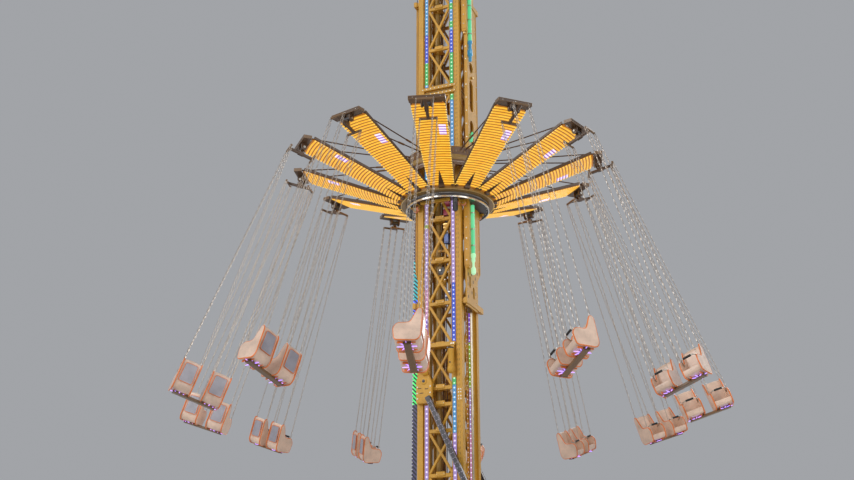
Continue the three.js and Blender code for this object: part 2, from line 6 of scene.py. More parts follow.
import bpy
import numpy as np
from mathutils import Matrix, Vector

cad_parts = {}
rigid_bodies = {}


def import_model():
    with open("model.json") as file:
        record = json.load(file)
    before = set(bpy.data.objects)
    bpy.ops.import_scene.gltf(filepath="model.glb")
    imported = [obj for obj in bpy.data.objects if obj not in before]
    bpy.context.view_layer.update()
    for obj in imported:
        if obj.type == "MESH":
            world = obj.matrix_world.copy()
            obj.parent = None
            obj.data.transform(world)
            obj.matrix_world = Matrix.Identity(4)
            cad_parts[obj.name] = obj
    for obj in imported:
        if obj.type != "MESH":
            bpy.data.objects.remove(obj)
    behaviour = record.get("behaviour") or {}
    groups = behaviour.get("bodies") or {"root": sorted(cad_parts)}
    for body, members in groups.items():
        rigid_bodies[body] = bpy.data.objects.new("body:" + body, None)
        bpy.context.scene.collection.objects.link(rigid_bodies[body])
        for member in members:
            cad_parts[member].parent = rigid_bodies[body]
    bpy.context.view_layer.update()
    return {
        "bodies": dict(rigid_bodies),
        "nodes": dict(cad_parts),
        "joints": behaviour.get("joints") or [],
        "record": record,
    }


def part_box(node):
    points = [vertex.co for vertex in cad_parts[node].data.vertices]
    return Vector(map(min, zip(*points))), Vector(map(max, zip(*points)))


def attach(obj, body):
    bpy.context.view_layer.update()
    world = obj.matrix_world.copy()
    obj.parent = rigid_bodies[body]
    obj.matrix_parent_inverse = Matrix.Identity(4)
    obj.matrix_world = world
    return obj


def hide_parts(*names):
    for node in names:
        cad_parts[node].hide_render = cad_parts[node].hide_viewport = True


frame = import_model()
nodes = frame["nodes"]
joints = {j["name"]: j for j in frame["joints"]}

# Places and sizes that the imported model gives
UP = np.array([0.0, 0.0, 1.0])
RING_Z = joints["star_turn"]["pos_m"][2]
SWINGS = sorted(name for name in joints if name.startswith("swing_out_"))
FLYING = math.radians(-joints[SWINGS[0]]["range_deg"][0])
PIVOT_R = math.hypot(*joints[SWINGS[0]]["pos_m"][:2])
PIVOT_Z = joints[SWINGS[0]]["pos_m"][2] - RING_Z
post_lo, post_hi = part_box("tower_post_front_right")
HALF = post_hi.x
TOWER_FOOT = post_lo.z
TOWER_TOP = post_hi.z
LOWER_JOINT = (7.01, 7.43)
UPPER_JOINT = (15.65, 15.93)
LEVELS = (0.30, 0.90, 1.99, 3.08, 4.17, 5.26, 6.35, *LOWER_JOINT, 8.53, 9.64, 10.80, 11.97, 13.195, 14.42,
          *UPPER_JOINT, 17.11, 18.45, 19.86, 21.27, 22.68, 24.09, 25.50)


# Shapes
class Shape:
    """Points, the corners of its faces in one row, how many corners each face has, and each face's paint."""

    def __init__(self, points, corners, counts, paint=0):
        self.points = np.asarray(points, float).reshape(-1, 3)
        self.corners = np.asarray(corners, np.int64).ravel()
        self.counts = np.asarray(counts, np.int64).ravel()
        self.paint = np.array(np.broadcast_to(paint, self.counts.shape), np.int64)

    def volume(self):
        """Signed volume: every face is a fan of triangles from its first corner, and each adds a sixth of the
        triple product of its three points."""
        starts = np.repeat(np.cumsum(self.counts) - self.counts, self.counts)
        ends = np.repeat(np.cumsum(self.counts), self.counts)
        here = np.arange(len(self.corners))
        following = np.where(here + 1 < ends, here + 1, starts)
        first, now, then = (self.points[self.corners[i]] for i in (starts, here, following))
        return np.einsum("ij,ij->", first, np.cross(now, then)) / 6

    def outward(self):
        """The same shape with each face's corners turned round if the volume came out negative."""
        if self.volume() < 0:
            starts = np.repeat(np.cumsum(self.counts) - self.counts, self.counts)
            ends = np.repeat(np.cumsum(self.counts), self.counts)
            self.corners = self.corners[starts + ends - 1 - np.arange(len(self.corners))]
        return self

    def at(self, place):
        """The shape carried by a 4x4 place."""
        place = np.asarray(place, float)
        moved = self.points @ place[:3, :3].T + place[:3, 3]
        return Shape(moved, self.corners, self.counts, self.paint)


def joined(shapes):
    """All shapes as one, the corners of each counted on from the points before it."""
    shapes = list(shapes)
    before = np.cumsum([0] + [len(s.points) for s in shapes[:-1]])
    return Shape(
        np.concatenate([s.points for s in shapes]),
        np.concatenate([s.corners + n for s, n in zip(shapes, before)]),
        np.concatenate([s.counts for s in shapes]),
        np.concatenate([s.paint for s in shapes]),
    )


def repeated(shape, places):
    """The shape at each of many 4x4 places, worked out as one array."""
    places = np.asarray(places, float).reshape(-1, 4, 4)
    points = np.einsum("kij,nj->kni", places[:, :3, :3], shape.points) + places[:, None, :3, 3]
    shift = np.arange(len(places))[:, None] * len(shape.points)
    return Shape(
        points,
        shape.corners[None, :] + shift,
        np.tile(shape.counts, len(places)),
        np.tile(shape.paint, len(places)),
    )


def net(points, around=False, caps=False, loop=False, paint=0):
    """Quads between the neighbours of a grid points[row, column]. around joins the last column to the first,
    loop the last row to the first, and caps closes the first and last row with a flat face each."""
    points = np.asarray(points, float)
    rows, columns = points.shape[:2]
    index = np.arange(rows * columns).reshape(rows, columns)
    if loop:
        index = np.vstack([index, index[:1]])
    if around:
        index = np.hstack([index, index[:, :1]])
    quads = np.stack([index[:-1, :-1], index[1:, :-1], index[1:, 1:], index[:-1, 1:]], -1).reshape(-1, 4)
    corners = [quads.ravel()]
    counts = [np.full(len(quads), 4)]
    if caps:
        corners += [np.arange(columns), rows * columns - 1 - np.arange(columns)]
        counts.append([columns, columns])
    return Shape(points, np.concatenate(corners), np.concatenate(counts), paint).outward()


def box_net():
    """A cube of half side 1 whose corners are three points each: point 3c + a of corner c lies on the face
    across axis a. It gives the faces, six sides, twelve edges and eight corners, and for each point its
    corner's signs and its axis."""
    signs = np.array([[(c >> a & 1) * 2 - 1 for a in range(3)] for c in range(8)])
    faces = []
    for a in range(3):
        b, d = (a + 1) % 3, (a + 2) % 3
        for s in (-1, 1):
            side = [c for c in range(8) if signs[c][a] == s]
            side.sort(key=lambda c: math.atan2(signs[c][d], signs[c][b]))
            faces.append([3 * c + a for c in (side if s > 0 else side[::-1])])
            for t in (-1, 1):
                low, high = (
                    next(c for c in range(8) if (signs[c][b], signs[c][d], signs[c][a]) == (s, t, e))
                    for e in (-1, 1)
                )
                edge = [3 * low + b, 3 * high + b, 3 * high + d, 3 * low + d]
                faces.append(edge if s * t < 0 else edge[::-1])
    for c in range(8):
        tip = [3 * c, 3 * c + 1, 3 * c + 2]
        faces.append(tip if signs[c].prod() > 0 else tip[::-1])
    corners = np.array([i for face in faces for i in face])
    counts = np.array([len(face) for face in faces])
    return corners, counts, np.repeat(signs, 3, 0), np.tile(np.arange(3), 8)


BOX_CORNERS, BOX_COUNTS, BOX_SIGNS, BOX_AXES = box_net()


def block(lo, hi, ease=0.004):
    """A box from lo to hi with edges and corners cut at 45 degrees: each point is half the size times its
    corner's signs, less the ease along the two axes that its face runs in."""
    lo, hi = np.minimum(lo, hi).astype(float), np.maximum(lo, hi).astype(float)
    half = (hi - lo) / 2
    pull = np.where(np.arange(3)[None, :] == BOX_AXES[:, None], 0.0, min(ease, half.min() * 0.45))
    return Shape((lo + hi) / 2 + BOX_SIGNS * (half - pull), BOX_CORNERS, BOX_COUNTS).outward()


def axes_place(origin, x, y, z):
    """A 4x4 place from an origin and three unit axes."""
    place = np.eye(4)
    place[:3, 0], place[:3, 1], place[:3, 2], place[:3, 3] = x, y, z, origin
    return place


def towards(start, end, up=UP):
    """A place at start whose Z runs to end and whose X lies square to Z and to up, and its length."""
    start, end = np.asarray(start, float), np.asarray(end, float)
    length = np.linalg.norm(end - start)
    z = (end - start) / length
    up = np.asarray(up, float)
    if abs(z @ up) > 0.999:
        up = np.array([1.0, 0.0, 0.0])
    x = np.cross(up, z)
    x /= np.linalg.norm(x)
    return axes_place(start, x, np.cross(z, x), z), length


def turned_z(angle):
    """A place turned by an angle about Z."""
    c, s = math.cos(angle), math.sin(angle)
    return axes_place((0, 0, 0), (c, s, 0), (-s, c, 0), (0, 0, 1))


def moved(x, y, z):
    """A place that only shifts."""
    place = np.eye(4)
    place[:3, 3] = x, y, z
    return place


def beam(start, end, width, depth, ease=0.004, up=UP):
    """A bar of rectangular section between two points, width across and depth along up."""
    place, length = towards(start, end, up)
    return block((-width / 2, -depth / 2, 0), (width / 2, depth / 2, length), ease).at(place)


def circle(radius, sides, turn=0.0):
    """Points of a circle, radius times cosine and sine of equal steps."""
    angles = np.arange(sides) * 2 * math.pi / sides + turn
    return np.stack([radius * np.cos(angles), radius * np.sin(angles)], -1)


def lathe(profile, sides=16):
    """A profile of (radius, height) turned about Z, closed by a flat face at each end."""
    profile = np.asarray(profile, float)
    rim = circle(1.0, sides)
    points = np.concatenate([profile[:, None, :1] * rim[None],
                             np.broadcast_to(profile[:, None, 1:], (len(profile), sides, 1))], -1)
    return net(points, around=True, caps=True)


def hoop(profile, sides=96):
    """A closed profile of (radius, height) turned about Z into a ring."""
    profile = np.asarray(profile, float)
    rim = circle(1.0, sides)
    points = np.concatenate([rim[:, None, :] * profile[None, :, :1],
                             np.broadcast_to(profile[None, :, 1:], (sides, len(profile), 1))], -1)
    return net(points, around=True, loop=True)


def rod(start, end, radius, sides=12, ease=0.002):
    """A round bar between two points with its ends eased."""
    place, length = towards(start, end)
    ease = min(ease, radius * 0.4, length * 0.3)
    profile = [(radius - ease, 0), (radius, ease), (radius, length - ease), (radius - ease, length)]
    return lathe(profile, sides).at(place)


def inset(outline, depth):
    """A closed outline moved inwards: each point goes along the sum of its two edge normals, by the depth
    divided by the cosine of half the turn."""
    outline = np.asarray(outline, float)
    area = np.sum(outline[:, 0] * np.roll(outline[:, 1], -1) - outline[:, 1] * np.roll(outline[:, 0], -1))
    edge = np.roll(outline, -1, 0) - outline
    edge /= np.linalg.norm(edge, axis=1, keepdims=True)
    normal = np.stack([-edge[:, 1], edge[:, 0]], -1) * np.sign(area)
    both = normal + np.roll(normal, 1, 0)
    return outline + both * depth / np.maximum(0.5, (both * both).sum(1, keepdims=True) / 2)


def rounded(outline, radius, steps=3):
    """A closed outline with each corner drawn as a quadratic curve between the points at most a radius, and
    less than half an edge, before and after it."""
    outline = np.asarray(outline, float)
    before, after = np.roll(outline, 1, 0) - outline, np.roll(outline, -1, 0) - outline
    reach_in = np.minimum(radius, np.linalg.norm(before, axis=1) * 0.49)[:, None]
    reach_out = np.minimum(radius, np.linalg.norm(after, axis=1) * 0.49)[:, None]
    start = outline + before / np.linalg.norm(before, axis=1, keepdims=True) * reach_in
    end = outline + after / np.linalg.norm(after, axis=1, keepdims=True) * reach_out
    t = np.linspace(0, 1, steps + 1)[None, :, None]
    curve = (1 - t) ** 2 * start[:, None] + 2 * t * (1 - t) * outline[:, None] + t**2 * end[:, None]
    return curve.reshape(-1, 2)


def plate(outline, lo, hi, ease=0.003):
    """An outline in X and Y carried along Z from lo to hi, its two rims eased."""
    outline = np.asarray(outline, float)
    ease = min(ease, (hi - lo) * 0.45)
    small = inset(outline, ease)
    rows = [(small, lo), (outline, lo + ease), (outline, hi - ease), (small, hi)]
    points = np.stack([np.column_stack([o, np.full(len(o), z)]) for o, z in rows])
    return net(points, around=True, caps=True)


def along(path, profile, closed=False, up=UP):
    """A profile carried along a path. At each point Z follows the path's direction, X is square to it and
    to up, and the profile stands in X and Y."""
    path, profile = np.asarray(path, float), np.asarray(profile, float)
    if closed:
        direction = np.roll(path, -1, 0) - np.roll(path, 1, 0)
    else:
        direction = np.gradient(path, axis=0)
    direction /= np.linalg.norm(direction, axis=1, keepdims=True)
    side = np.cross(np.broadcast_to(up, direction.shape), direction)
    side /= np.linalg.norm(side, axis=1, keepdims=True)
    rise = np.cross(direction, side)
    points = path[:, None] + side[:, None] * profile[None, :, :1] + rise[:, None] * profile[None, :, 1:]
    return net(points, around=True, caps=not closed, loop=closed)


def smooth_path(points, steps=6):
    """A Catmull-Rom curve through the points: on each span a cubic that leaves and arrives along the line
    between the neighbours."""
    points = np.asarray(points, float)
    padded = np.vstack([2 * points[0] - points[1], points, 2 * points[-1] - points[-2]])
    t = np.linspace(0, 1, steps, endpoint=False)[None, :, None]
    a, b, c, d = (padded[i : len(padded) - 3 + i, None] for i in range(4))
    bend = a - 2.5 * b + 2 * c - d / 2
    twist = 1.5 * b - 1.5 * c + (d - a) / 2
    curve = b + t * (c - a) / 2 + t**2 * bend + t**3 * twist
    return np.vstack([curve.reshape(-1, points.shape[1]), points[-1:]])


def dome(radius, height):
    """A lamp lens: two rings and a small flat top on a flat back, standing on Z = 0."""
    return lathe([(radius, 0), (radius * 0.86, height * 0.62), (radius * 0.34, height)], 6)


def bolt_head(radius=0.014, height=0.010):
    """A hexagon head on a washer, standing on Z = 0."""
    washer = lathe([(radius * 1.35, 0), (radius * 1.35, height * 0.25)], 8)
    head = lathe([(radius, height * 0.2), (radius, height * 0.8), (radius * 0.8, height)], 6)
    return joined([washer, head])


def bolts(places, radius=0.014, height=0.010, side=None):
    """Bolt heads at many places, turned to a side first where one is given."""
    head = bolt_head(radius, height)
    return repeated(head if side is None else head.at(side), places)


# A place whose Z runs out of a face
def facing(direction, origin):
    """A place at origin whose Z points along a direction."""
    return towards(origin, np.asarray(origin, float) + np.asarray(direction, float))[0]


# Places that turn with the star and fly with the swings
def spoke(name):
    """The arm's place: X out from the axis, Y along the way the star is turned, the origin in the ring."""
    axis = np.array(joints[name]["axis"])
    return axes_place((0, 0, RING_Z), np.cross(UP, axis), -axis, UP)


def hung(name):
    """The swing's place: the origin on its pin, tilted outwards about the arm's Y by the flying angle."""
    tilt = axes_place(
        (PIVOT_R, 0, PIVOT_Z),
        (math.cos(FLYING), 0, math.sin(FLYING)),
        (0, 1, 0),
        (-math.sin(FLYING), 0, math.cos(FLYING)),
    )
    return spoke(name) @ tilt


# Materials
class Finish:
    """A material under way: its Principled shader and its Object coordinates."""

    def __init__(self, name, **fixed):
        self.material = bpy.data.materials.new(name)
        self.material.use_nodes = True
        self.tree = self.material.node_tree
        self.shader = self.tree.nodes["Principled BSDF"]
        for socket, value in fixed.items():
            self.shader.inputs[socket.replace("_", " ")].default_value = value
        self.coordinates = self.tree.nodes.new("ShaderNodeTexCoord").outputs["Object"]

    def add(self, kind, values=(), **settings):
        """A node with its settings, and its inputs given as values or as other nodes' outputs."""
        node = self.tree.nodes.new(kind)
        for key, value in settings.items():
            setattr(node, key, value)
        for socket, value in dict(values).items():
            if isinstance(value, bpy.types.NodeSocket):
                self.tree.links.new(value, node.inputs[socket])
            else:
                node.inputs[socket].default_value = value
        return node

    def noise(self, scale, detail=3.0, stretch=(1, 1, 1), roughness=0.5):
        """Noise over the piece, its scale per metre, stretched along the axes."""
        spot = self.add("ShaderNodeMapping", {"Vector": self.coordinates, "Scale": stretch}).outputs[0]
        values = {"Vector": spot, "Scale": scale, "Detail": detail, "Roughness": roughness}
        return self.add("ShaderNodeTexNoise", values).outputs["Fac"]

    def math(self, operation, a, b):
        return self.add("ShaderNodeMath", {0: a, 1: b}, operation=operation).outputs[0]

    def mixed(self, share, a, b):
        """a and b mixed as numbers."""
        return self.add("ShaderNodeMix", {0: share, 2: a, 3: b}, data_type="FLOAT").outputs[0]

    def tinted(self, share, a, b):
        """a and b mixed as colours."""
        return self.add("ShaderNodeMix", {0: share, 6: a, 7: b}, data_type="RGBA").outputs[2]

    def ramp(self, value, stops, interpolation="LINEAR"):
        """Colours by a value between 0 and 1."""
        node = self.add("ShaderNodeValToRGB", {"Fac": value})
        node.color_ramp.interpolation = interpolation
        elements = node.color_ramp.elements
        while len(elements) < len(stops):
            elements.new(0.5)
        for element, (position, colour) in zip(elements, stops):
            element.position = position
            element.color = (*colour, 1) if len(colour) == 3 else colour
        return node.outputs["Color"]

    def mask(self, value, low, high):
        """Black up to one value, white from another."""
        return self.ramp(value, [(low, (0, 0, 0)), (high, (1, 1, 1))])

    def levels(self, value, low, high):
        """A value between 0 and 1 spread between two numbers."""
        values = {"Value": value, "To Min": low, "To Max": high}
        return self.add("ShaderNodeMapRange", values).outputs[0]

    def height(self, reach):
        """How high a point is, from 0 at the ground to 1 at the reach."""
        z = self.add("ShaderNodeSeparateXYZ", {0: self.coordinates}).outputs["Z"]
        return self.math("DIVIDE", z, reach)

    def into(self, socket, source):
        self.tree.links.new(source, self.shader.inputs[socket])

    def bumped(self, value, distance, strength=0.5):
        normal = self.add("ShaderNodeBump", {"Height": value, "Distance": distance, "Strength": strength})
        self.into("Normal", normal.outputs[0])


def shade(colour, factor):
    """A colour made darker or lighter."""
    return tuple(min(1.0, c * factor) for c in colour)


def brushed_paint(name, colour, grime, roughness=0.42, coat=0.25, chips=0.0):
    """Sprayed paint: broad shade changes, rain streaks down Z, fine orange peel, and chips to the primer."""
    finish = Finish(name, Coat_Weight=coat, Coat_Roughness=0.25)
    broad = finish.noise(0.7, 3)
    streaks = finish.noise(9, 4, (1, 1, 0.08))
    fine = finish.noise(60, 4)
    tone = finish.mixed(0.45, broad, streaks)
    colours = finish.ramp(tone, [(0.30, shade(colour, 0.72)), (0.48, colour), (0.68, shade(colour, 1.18))])
    dirt = finish.mask(finish.mixed(0.5, streaks, fine), 0.46, 0.72)
    colours = finish.tinted(finish.math("MULTIPLY", dirt, 0.55), colours, (*grime, 1))
    if chips:
        worn = finish.mask(finish.noise(22, 6, roughness=0.7), 0.70 - chips, 0.72 - chips)
        colours = finish.tinted(worn, colours, (*shade(grime, 1.6), 1))
    finish.into("Base Color", colours)
    dulled = finish.mixed(0.5, fine, streaks)
    finish.into("Roughness", finish.levels(dulled, roughness - 0.12, roughness + 0.16))
    finish.bumped(fine, 0.0012)
    return finish.material


def bare_metal(name, colour, roughness, grain=(1, 1, 12), stain=(0.16, 0.10, 0.05), amount=0.35):
    """Metal with a drawn grain, and brown stain in its hollows."""
    finish = Finish(name, Metallic=1.0)
    drawn = finish.noise(70, 4, grain)
    blotch = finish.noise(5, 5)
    tone = finish.ramp(drawn, [(0.3, shade(colour, 0.7)), (0.7, shade(colour, 1.15))])
    stained = finish.mask(blotch, 0.52, 0.75)
    finish.into("Base Color", finish.tinted(finish.math("MULTIPLY", stained, amount), tone, (*stain, 1)))
    finish.into("Roughness", finish.levels(drawn, roughness - 0.1, roughness + 0.18))
    finish.bumped(drawn, 0.0006)
    return finish.material


def moulded(name, colour, roughness=0.35, grain=140, coat=0.3):
    """Moulded plastic: a fine grain, slight clouding and scuffs that dull it."""
    finish = Finish(name, Coat_Weight=coat, Coat_Roughness=0.2)
    cloud = finish.noise(3.5, 3)
    fine = finish.noise(grain, 2)
    scuffs = finish.mask(finish.noise(18, 6, (1, 4, 1)), 0.55, 0.66)
    tone = finish.ramp(cloud, [(0.3, shade(colour, 0.78)), (0.55, colour), (0.8, shade(colour, 1.15))])
    scuffed = finish.math("MULTIPLY", scuffs, 0.22)
    finish.into("Base Color", finish.tinted(scuffed, tone, (*shade(colour, 0.5), 1)))
    dulled = finish.mixed(0.5, fine, scuffs)
    finish.into("Roughness", finish.levels(dulled, roughness - 0.08, roughness + 0.2))
    finish.bumped(fine, 0.0004)
    return finish.material


def lit(name, colours, strength, body=(0.5, 0.5, 0.5), scale=7.0):
    """A lit lens: its glow wanders a little between the colours from one lamp to the next. It also gives
    the painted glow on the arm's backing and patch floor, which are no lamps.
    """
    finish = Finish(name, Base_Color=(*body, 1), Roughness=0.3, Emission_Strength=strength, Coat_Weight=0.4)
    wander = finish.mixed(0.3, finish.noise(scale, 3), finish.noise(90, 2))
    stops = zip(np.linspace(0.3, 0.7, len(colours)).tolist(), colours)
    finish.into("Emission Color", finish.ramp(wander, list(stops)))
    finish.bumped(finish.noise(120, 2), 0.0005)
    return finish.material


# Colours of the lamp rows up the tower, each from its height in metres upwards: left and right of the middle
# of the front, beside the rails, and on the line next to the tower
WHITE, LILAC, PINK, RED = (1.0, 0.97, 0.94), (0.66, 0.46, 1.0), (0.95, 0.42, 0.80), (0.90, 0.10, 0.20)
VIOLET, BLUE, SKY, GREEN = (0.30, 0.10, 1.0), (0.03, 0.12, 1.0), (0.10, 0.48, 0.95), (0.05, 0.75, 0.16)
LIME, TEAL, DARK = (0.45, 0.70, 0.06), (0.02, 0.38, 0.42), (0.05, 0.045, 0.10)
LEFT_ROW = ((0, PINK), (1.6, LILAC), (3.4, PINK), (4.9, LIME), (5.1, LILAC), (8.5, VIOLET), (9.2, PINK),
            (10.0, LILAC), (11.7, LIME), (11.84, LILAC), (13.1, SKY), (16.0, GREEN), (16.7, BLUE),
            (17.6, SKY), (20.4, VIOLET), (22.0, BLUE), (23.6, GREEN))
RIGHT_ROW = ((0, LILAC), (2.2, PINK), (4.4, LILAC), (6.2, SKY), (7.4, GREEN), (8.5, BLUE), (10.1, LILAC),
             (13.1, SKY), (15.4, GREEN), (16.85, BLUE), (17.6, SKY), (17.72, GREEN), (17.84, SKY),
             (18.32, GREEN), (18.44, SKY), (20.0, GREEN), (21.6, SKY), (23.2, BLUE))
RAIL_LEFT = ((0, RED), (3.0, PINK), (5.2, RED), (8.0, PINK), (8.6, VIOLET))
RAIL_RIGHT = ((0, LILAC), (4.0, PINK), (6.3, LILAC), (7.4, LIME), (8.6, VIOLET))
LINE_RUN = ((0, DARK), (7.1, GREEN), (8.1, PINK), (8.6, VIOLET), (9.2, BLUE), (9.9, TEAL), (11.0, DARK))


def by_height(finish, run, white):
    """A run of colours in steps of height, each mixed with some white; a little noise wanders the steps."""
    level = finish.math("ADD", finish.height(TOWER_TOP), finish.levels(finish.noise(3.0, 2), -0.001, 0.001))
    stops = [(z / TOWER_TOP, tuple(c + (w - c) * white for c, w in zip(colour, WHITE))) for z, colour in run]
    return finish.ramp(level, stops, "CONSTANT")


def row_colours(name, strength, white, *runs):
    """Glow that changes with height. Of two runs of colours the first lights what is left of the middle."""
    finish = Finish(name, Base_Color=(0.02, 0.02, 0.03, 1), Roughness=0.45, Emission_Strength=strength)
    glows = [by_height(finish, run, white) for run in runs]
    if len(glows) > 1:
        x = finish.add("ShaderNodeSeparateXYZ", {0: finish.coordinates}).outputs["X"]
        glows = [finish.tinted(finish.math("GREATER_THAN", x, 0.0), *glows)]
    finish.into("Emission Color", glows[0])
    finish.bumped(finish.noise(120, 2), 0.0005)
    return finish.material


def striped_line(name, run, strength, pitch=0.11):
    """A dark sleeve with slanting stripes that glow in the colours of a run."""
    finish = Finish(name, Roughness=0.45, Emission_Strength=strength)
    split = finish.add("ShaderNodeSeparateXYZ", {0: finish.coordinates}).outputs
    slant = finish.math("ADD", split["Z"], split["X"])
    wave = finish.math("FRACT", finish.math("DIVIDE", slant, pitch), 0.0)
    stripe = finish.ramp(wave, [(0.0, (0, 0, 0)), (0.42, (0, 0, 0)), (0.50, (1, 1, 1)), (0.92, (1, 1, 1)),
                                (1.0, (0, 0, 0))])
    glow = by_height(finish, run, 0.0)
    finish.into("Emission Color", finish.tinted(stripe, (0.0, 0.0, 0.0, 1), glow))
    finish.into("Base Color", finish.tinted(stripe, (0.015, 0.015, 0.02, 1), glow))
    finish.bumped(stripe, 0.002)
    return finish.material


TOWER_PAINT = brushed_paint("tower_paint", (0.66, 0.34, 0.028), (0.17, 0.085, 0.015), 0.52, coat=0.08,
                            chips=0.02)
RING_PAINT = brushed_paint("ring_paint", (0.36, 0.19, 0.035), (0.08, 0.04, 0.015), 0.34, coat=0.35)
DRUM_PAINT = brushed_paint("drum_paint", (0.20, 0.095, 0.030), (0.05, 0.025, 0.012), 0.38, coat=0.3)
ARM_PAINT = brushed_paint("arm_paint", (0.11, 0.055, 0.024), (0.03, 0.018, 0.010), 0.38, coat=0.3)
ARM_TRIM = brushed_paint("arm_trim", (0.22, 0.12, 0.05), (0.06, 0.035, 0.02), 0.34, coat=0.3)
STRUT_PAINT = brushed_paint("strut_paint", (0.045, 0.040, 0.048), (0.02, 0.018, 0.016), 0.42)
STRUT_EDGE = brushed_paint("strut_edge", (0.30, 0.26, 0.30), (0.08, 0.07, 0.08), 0.40)
BASE_PAINT = brushed_paint("base_paint", (0.085, 0.090, 0.105), (0.05, 0.04, 0.03), 0.5, chips=0.04)
RAIL_STEEL = bare_metal("rail_steel", (0.62, 0.54, 0.40), 0.32)
BEARING_STEEL = bare_metal("bearing_steel", (0.46, 0.45, 0.43), 0.3, (1, 1, 1), (0.06, 0.04, 0.02), 0.5)
CHROME = bare_metal("chromed_band", (0.82, 0.80, 0.76), 0.16, (1, 1, 1), (0.20, 0.15, 0.10), 0.25)
CHAIN_STEEL = bare_metal("chain_steel", (0.62, 0.54, 0.46), 0.36, (1, 1, 1), (0.20, 0.13, 0.08), 0.4)
ZINC = bare_metal("zinc_bolts", (0.66, 0.64, 0.58), 0.34, (1, 1, 1), (0.20, 0.15, 0.08), 0.4)
BRASS = bare_metal("brass_fittings", (0.86, 0.62, 0.26), 0.28, (1, 1, 1), (0.25, 0.13, 0.04), 0.3)
# Black rubber for caps, eyes and the lap sleeve; the same black also stands as painted shade inside holes and
# slots
RUBBER_AND_HOLE_SHADE = moulded("black_rubber_and_painted_hole_shade", (0.030, 0.029, 0.028), 0.62, 90, 0.0)
DARK_METAL = brushed_paint("dark_drive_paint", (0.055, 0.055, 0.060), (0.02, 0.02, 0.02), 0.45)
ROLLER_TYRE = moulded("roller_tyre", (0.85, 0.30, 0.16), 0.45)
SEAT_CREAM = moulded("seat_cream", (0.83, 0.60, 0.46), 0.30, 160, 0.5)
SEAT_ORANGE = moulded("seat_orange", (0.87, 0.22, 0.04), 0.32, 160, 0.5)
SEAT_GREY = moulded("seat_back_panel", (0.36, 0.34, 0.38), 0.24, 160, 0.7)
PIPE_PAINT = brushed_paint("pipe_paint", (0.42, 0.25, 0.05), (0.10, 0.06, 0.02), 0.42)
CABINET_RED = brushed_paint("cabinet_red", (0.45, 0.02, 0.06), (0.12, 0.02, 0.02), 0.35)
CABINET_WHITE = brushed_paint("cabinet_white", (0.74, 0.71, 0.66), (0.25, 0.22, 0.18), 0.35)
CABINET_BLUE = brushed_paint("cabinet_blue", (0.05, 0.12, 0.42), (0.02, 0.03, 0.08), 0.35)

AMBER = lit("amber_bars", [(1.0, 0.42, 0.012), (1.0, 0.52, 0.028), (1.0, 0.61, 0.055)], 0.95,
            (0.28, 0.14, 0.02))
# Painted light: the backing plate is no lamp, and its dim amber emission is the glow the amber bars cast on
# it
AMBER_GLOW_ON_BACKING = lit("painted_amber_glow_on_backing", [(0.46, 0.14, 0.002), (0.66, 0.24, 0.006)], 0.62, (0.16, 0.06, 0.008))
AMBER_PALE = lit("pale_bar_ends", [(1.0, 0.56, 0.05), (1.0, 0.66, 0.12)], 0.95, (0.30, 0.17, 0.03))
PATCH = lit("lilac_bar_part", [(0.80, 0.62, 1.0), (1.0, 0.88, 0.98)], 0.9)
# Painted light: the violet emission on the patch floor is the glow the lilac bars cast on it, and the floor
# is no lamp
VIOLET_GLOW_ON_PATCH_FLOOR = lit("painted_violet_glow_on_patch_floor", [(0.34, 0.12, 0.62), (0.52, 0.22, 0.80)], 0.7, (0.10, 0.05, 0.16))
STRUT_LAMP = lit("strut_lamps", [(0.50, 0.46, 0.66), (0.70, 0.62, 0.66)], 0.35, (0.25, 0.23, 0.28), 3.0)
SEAT_GLOW = lit("seat_star_light", [(0.22, 0.14, 1.0), (0.70, 0.30, 1.0)], 1.4)
GREEN_GLOW = lit("green_tube_light", [(0.02, 0.50, 0.20), (0.14, 0.72, 0.34)], 0.85, (0.1, 0.3, 0.15), 2.0)
GREEN_PALE = lit("pale_green_light", [(0.30, 0.85, 0.42), (0.62, 0.95, 0.62)], 0.8, (0.2, 0.4, 0.2), 2.0)
TEAL_GLOW = lit("teal_fitting", [(0.01, 0.20, 0.42), (0.06, 0.42, 0.62)], 0.55, (0.05, 0.15, 0.25))
ROW_GLOW = row_colours("row_halo", 0.50, 0.0, LEFT_ROW, RIGHT_ROW)
ROW_RIM = row_colours("row_lamp_rims", 0.85, 0.06, LEFT_ROW, RIGHT_ROW)
ROW_LAMP = row_colours("row_lamp_middles", 1.15, 0.72, LEFT_ROW, RIGHT_ROW)
RAIL_GLOWS = [row_colours("rail_halo_left", 0.5, 0.0, RAIL_LEFT),
              row_colours("rail_halo_right", 0.5, 0.0, RAIL_RIGHT)]
LINE_SLEEVE = striped_line("line_sleeve", LINE_RUN, 0.7)

SLOT_FINISH = {
    "tower_paint": TOWER_PAINT,
    "base_paint": BASE_PAINT,
    "strut_paint": STRUT_PAINT,
    "ring_paint": RING_PAINT,
    "arm_paint": ARM_PAINT,
    "bearing_steel": BEARING_STEEL,
    "rail_steel": RAIL_STEEL,
    "chain_steel": CHAIN_STEEL,
    "seat_shell": SEAT_CREAM,
    "light_line": LINE_SLEEVE,
}
for part in frame["record"]["subparts"]:
    slots = nodes[part["node"]].data.materials
    slots.clear()
    slots.append(SLOT_FINISH[part["material_slot"]])


# Pieces
SHARP_DEGREES = 35.0


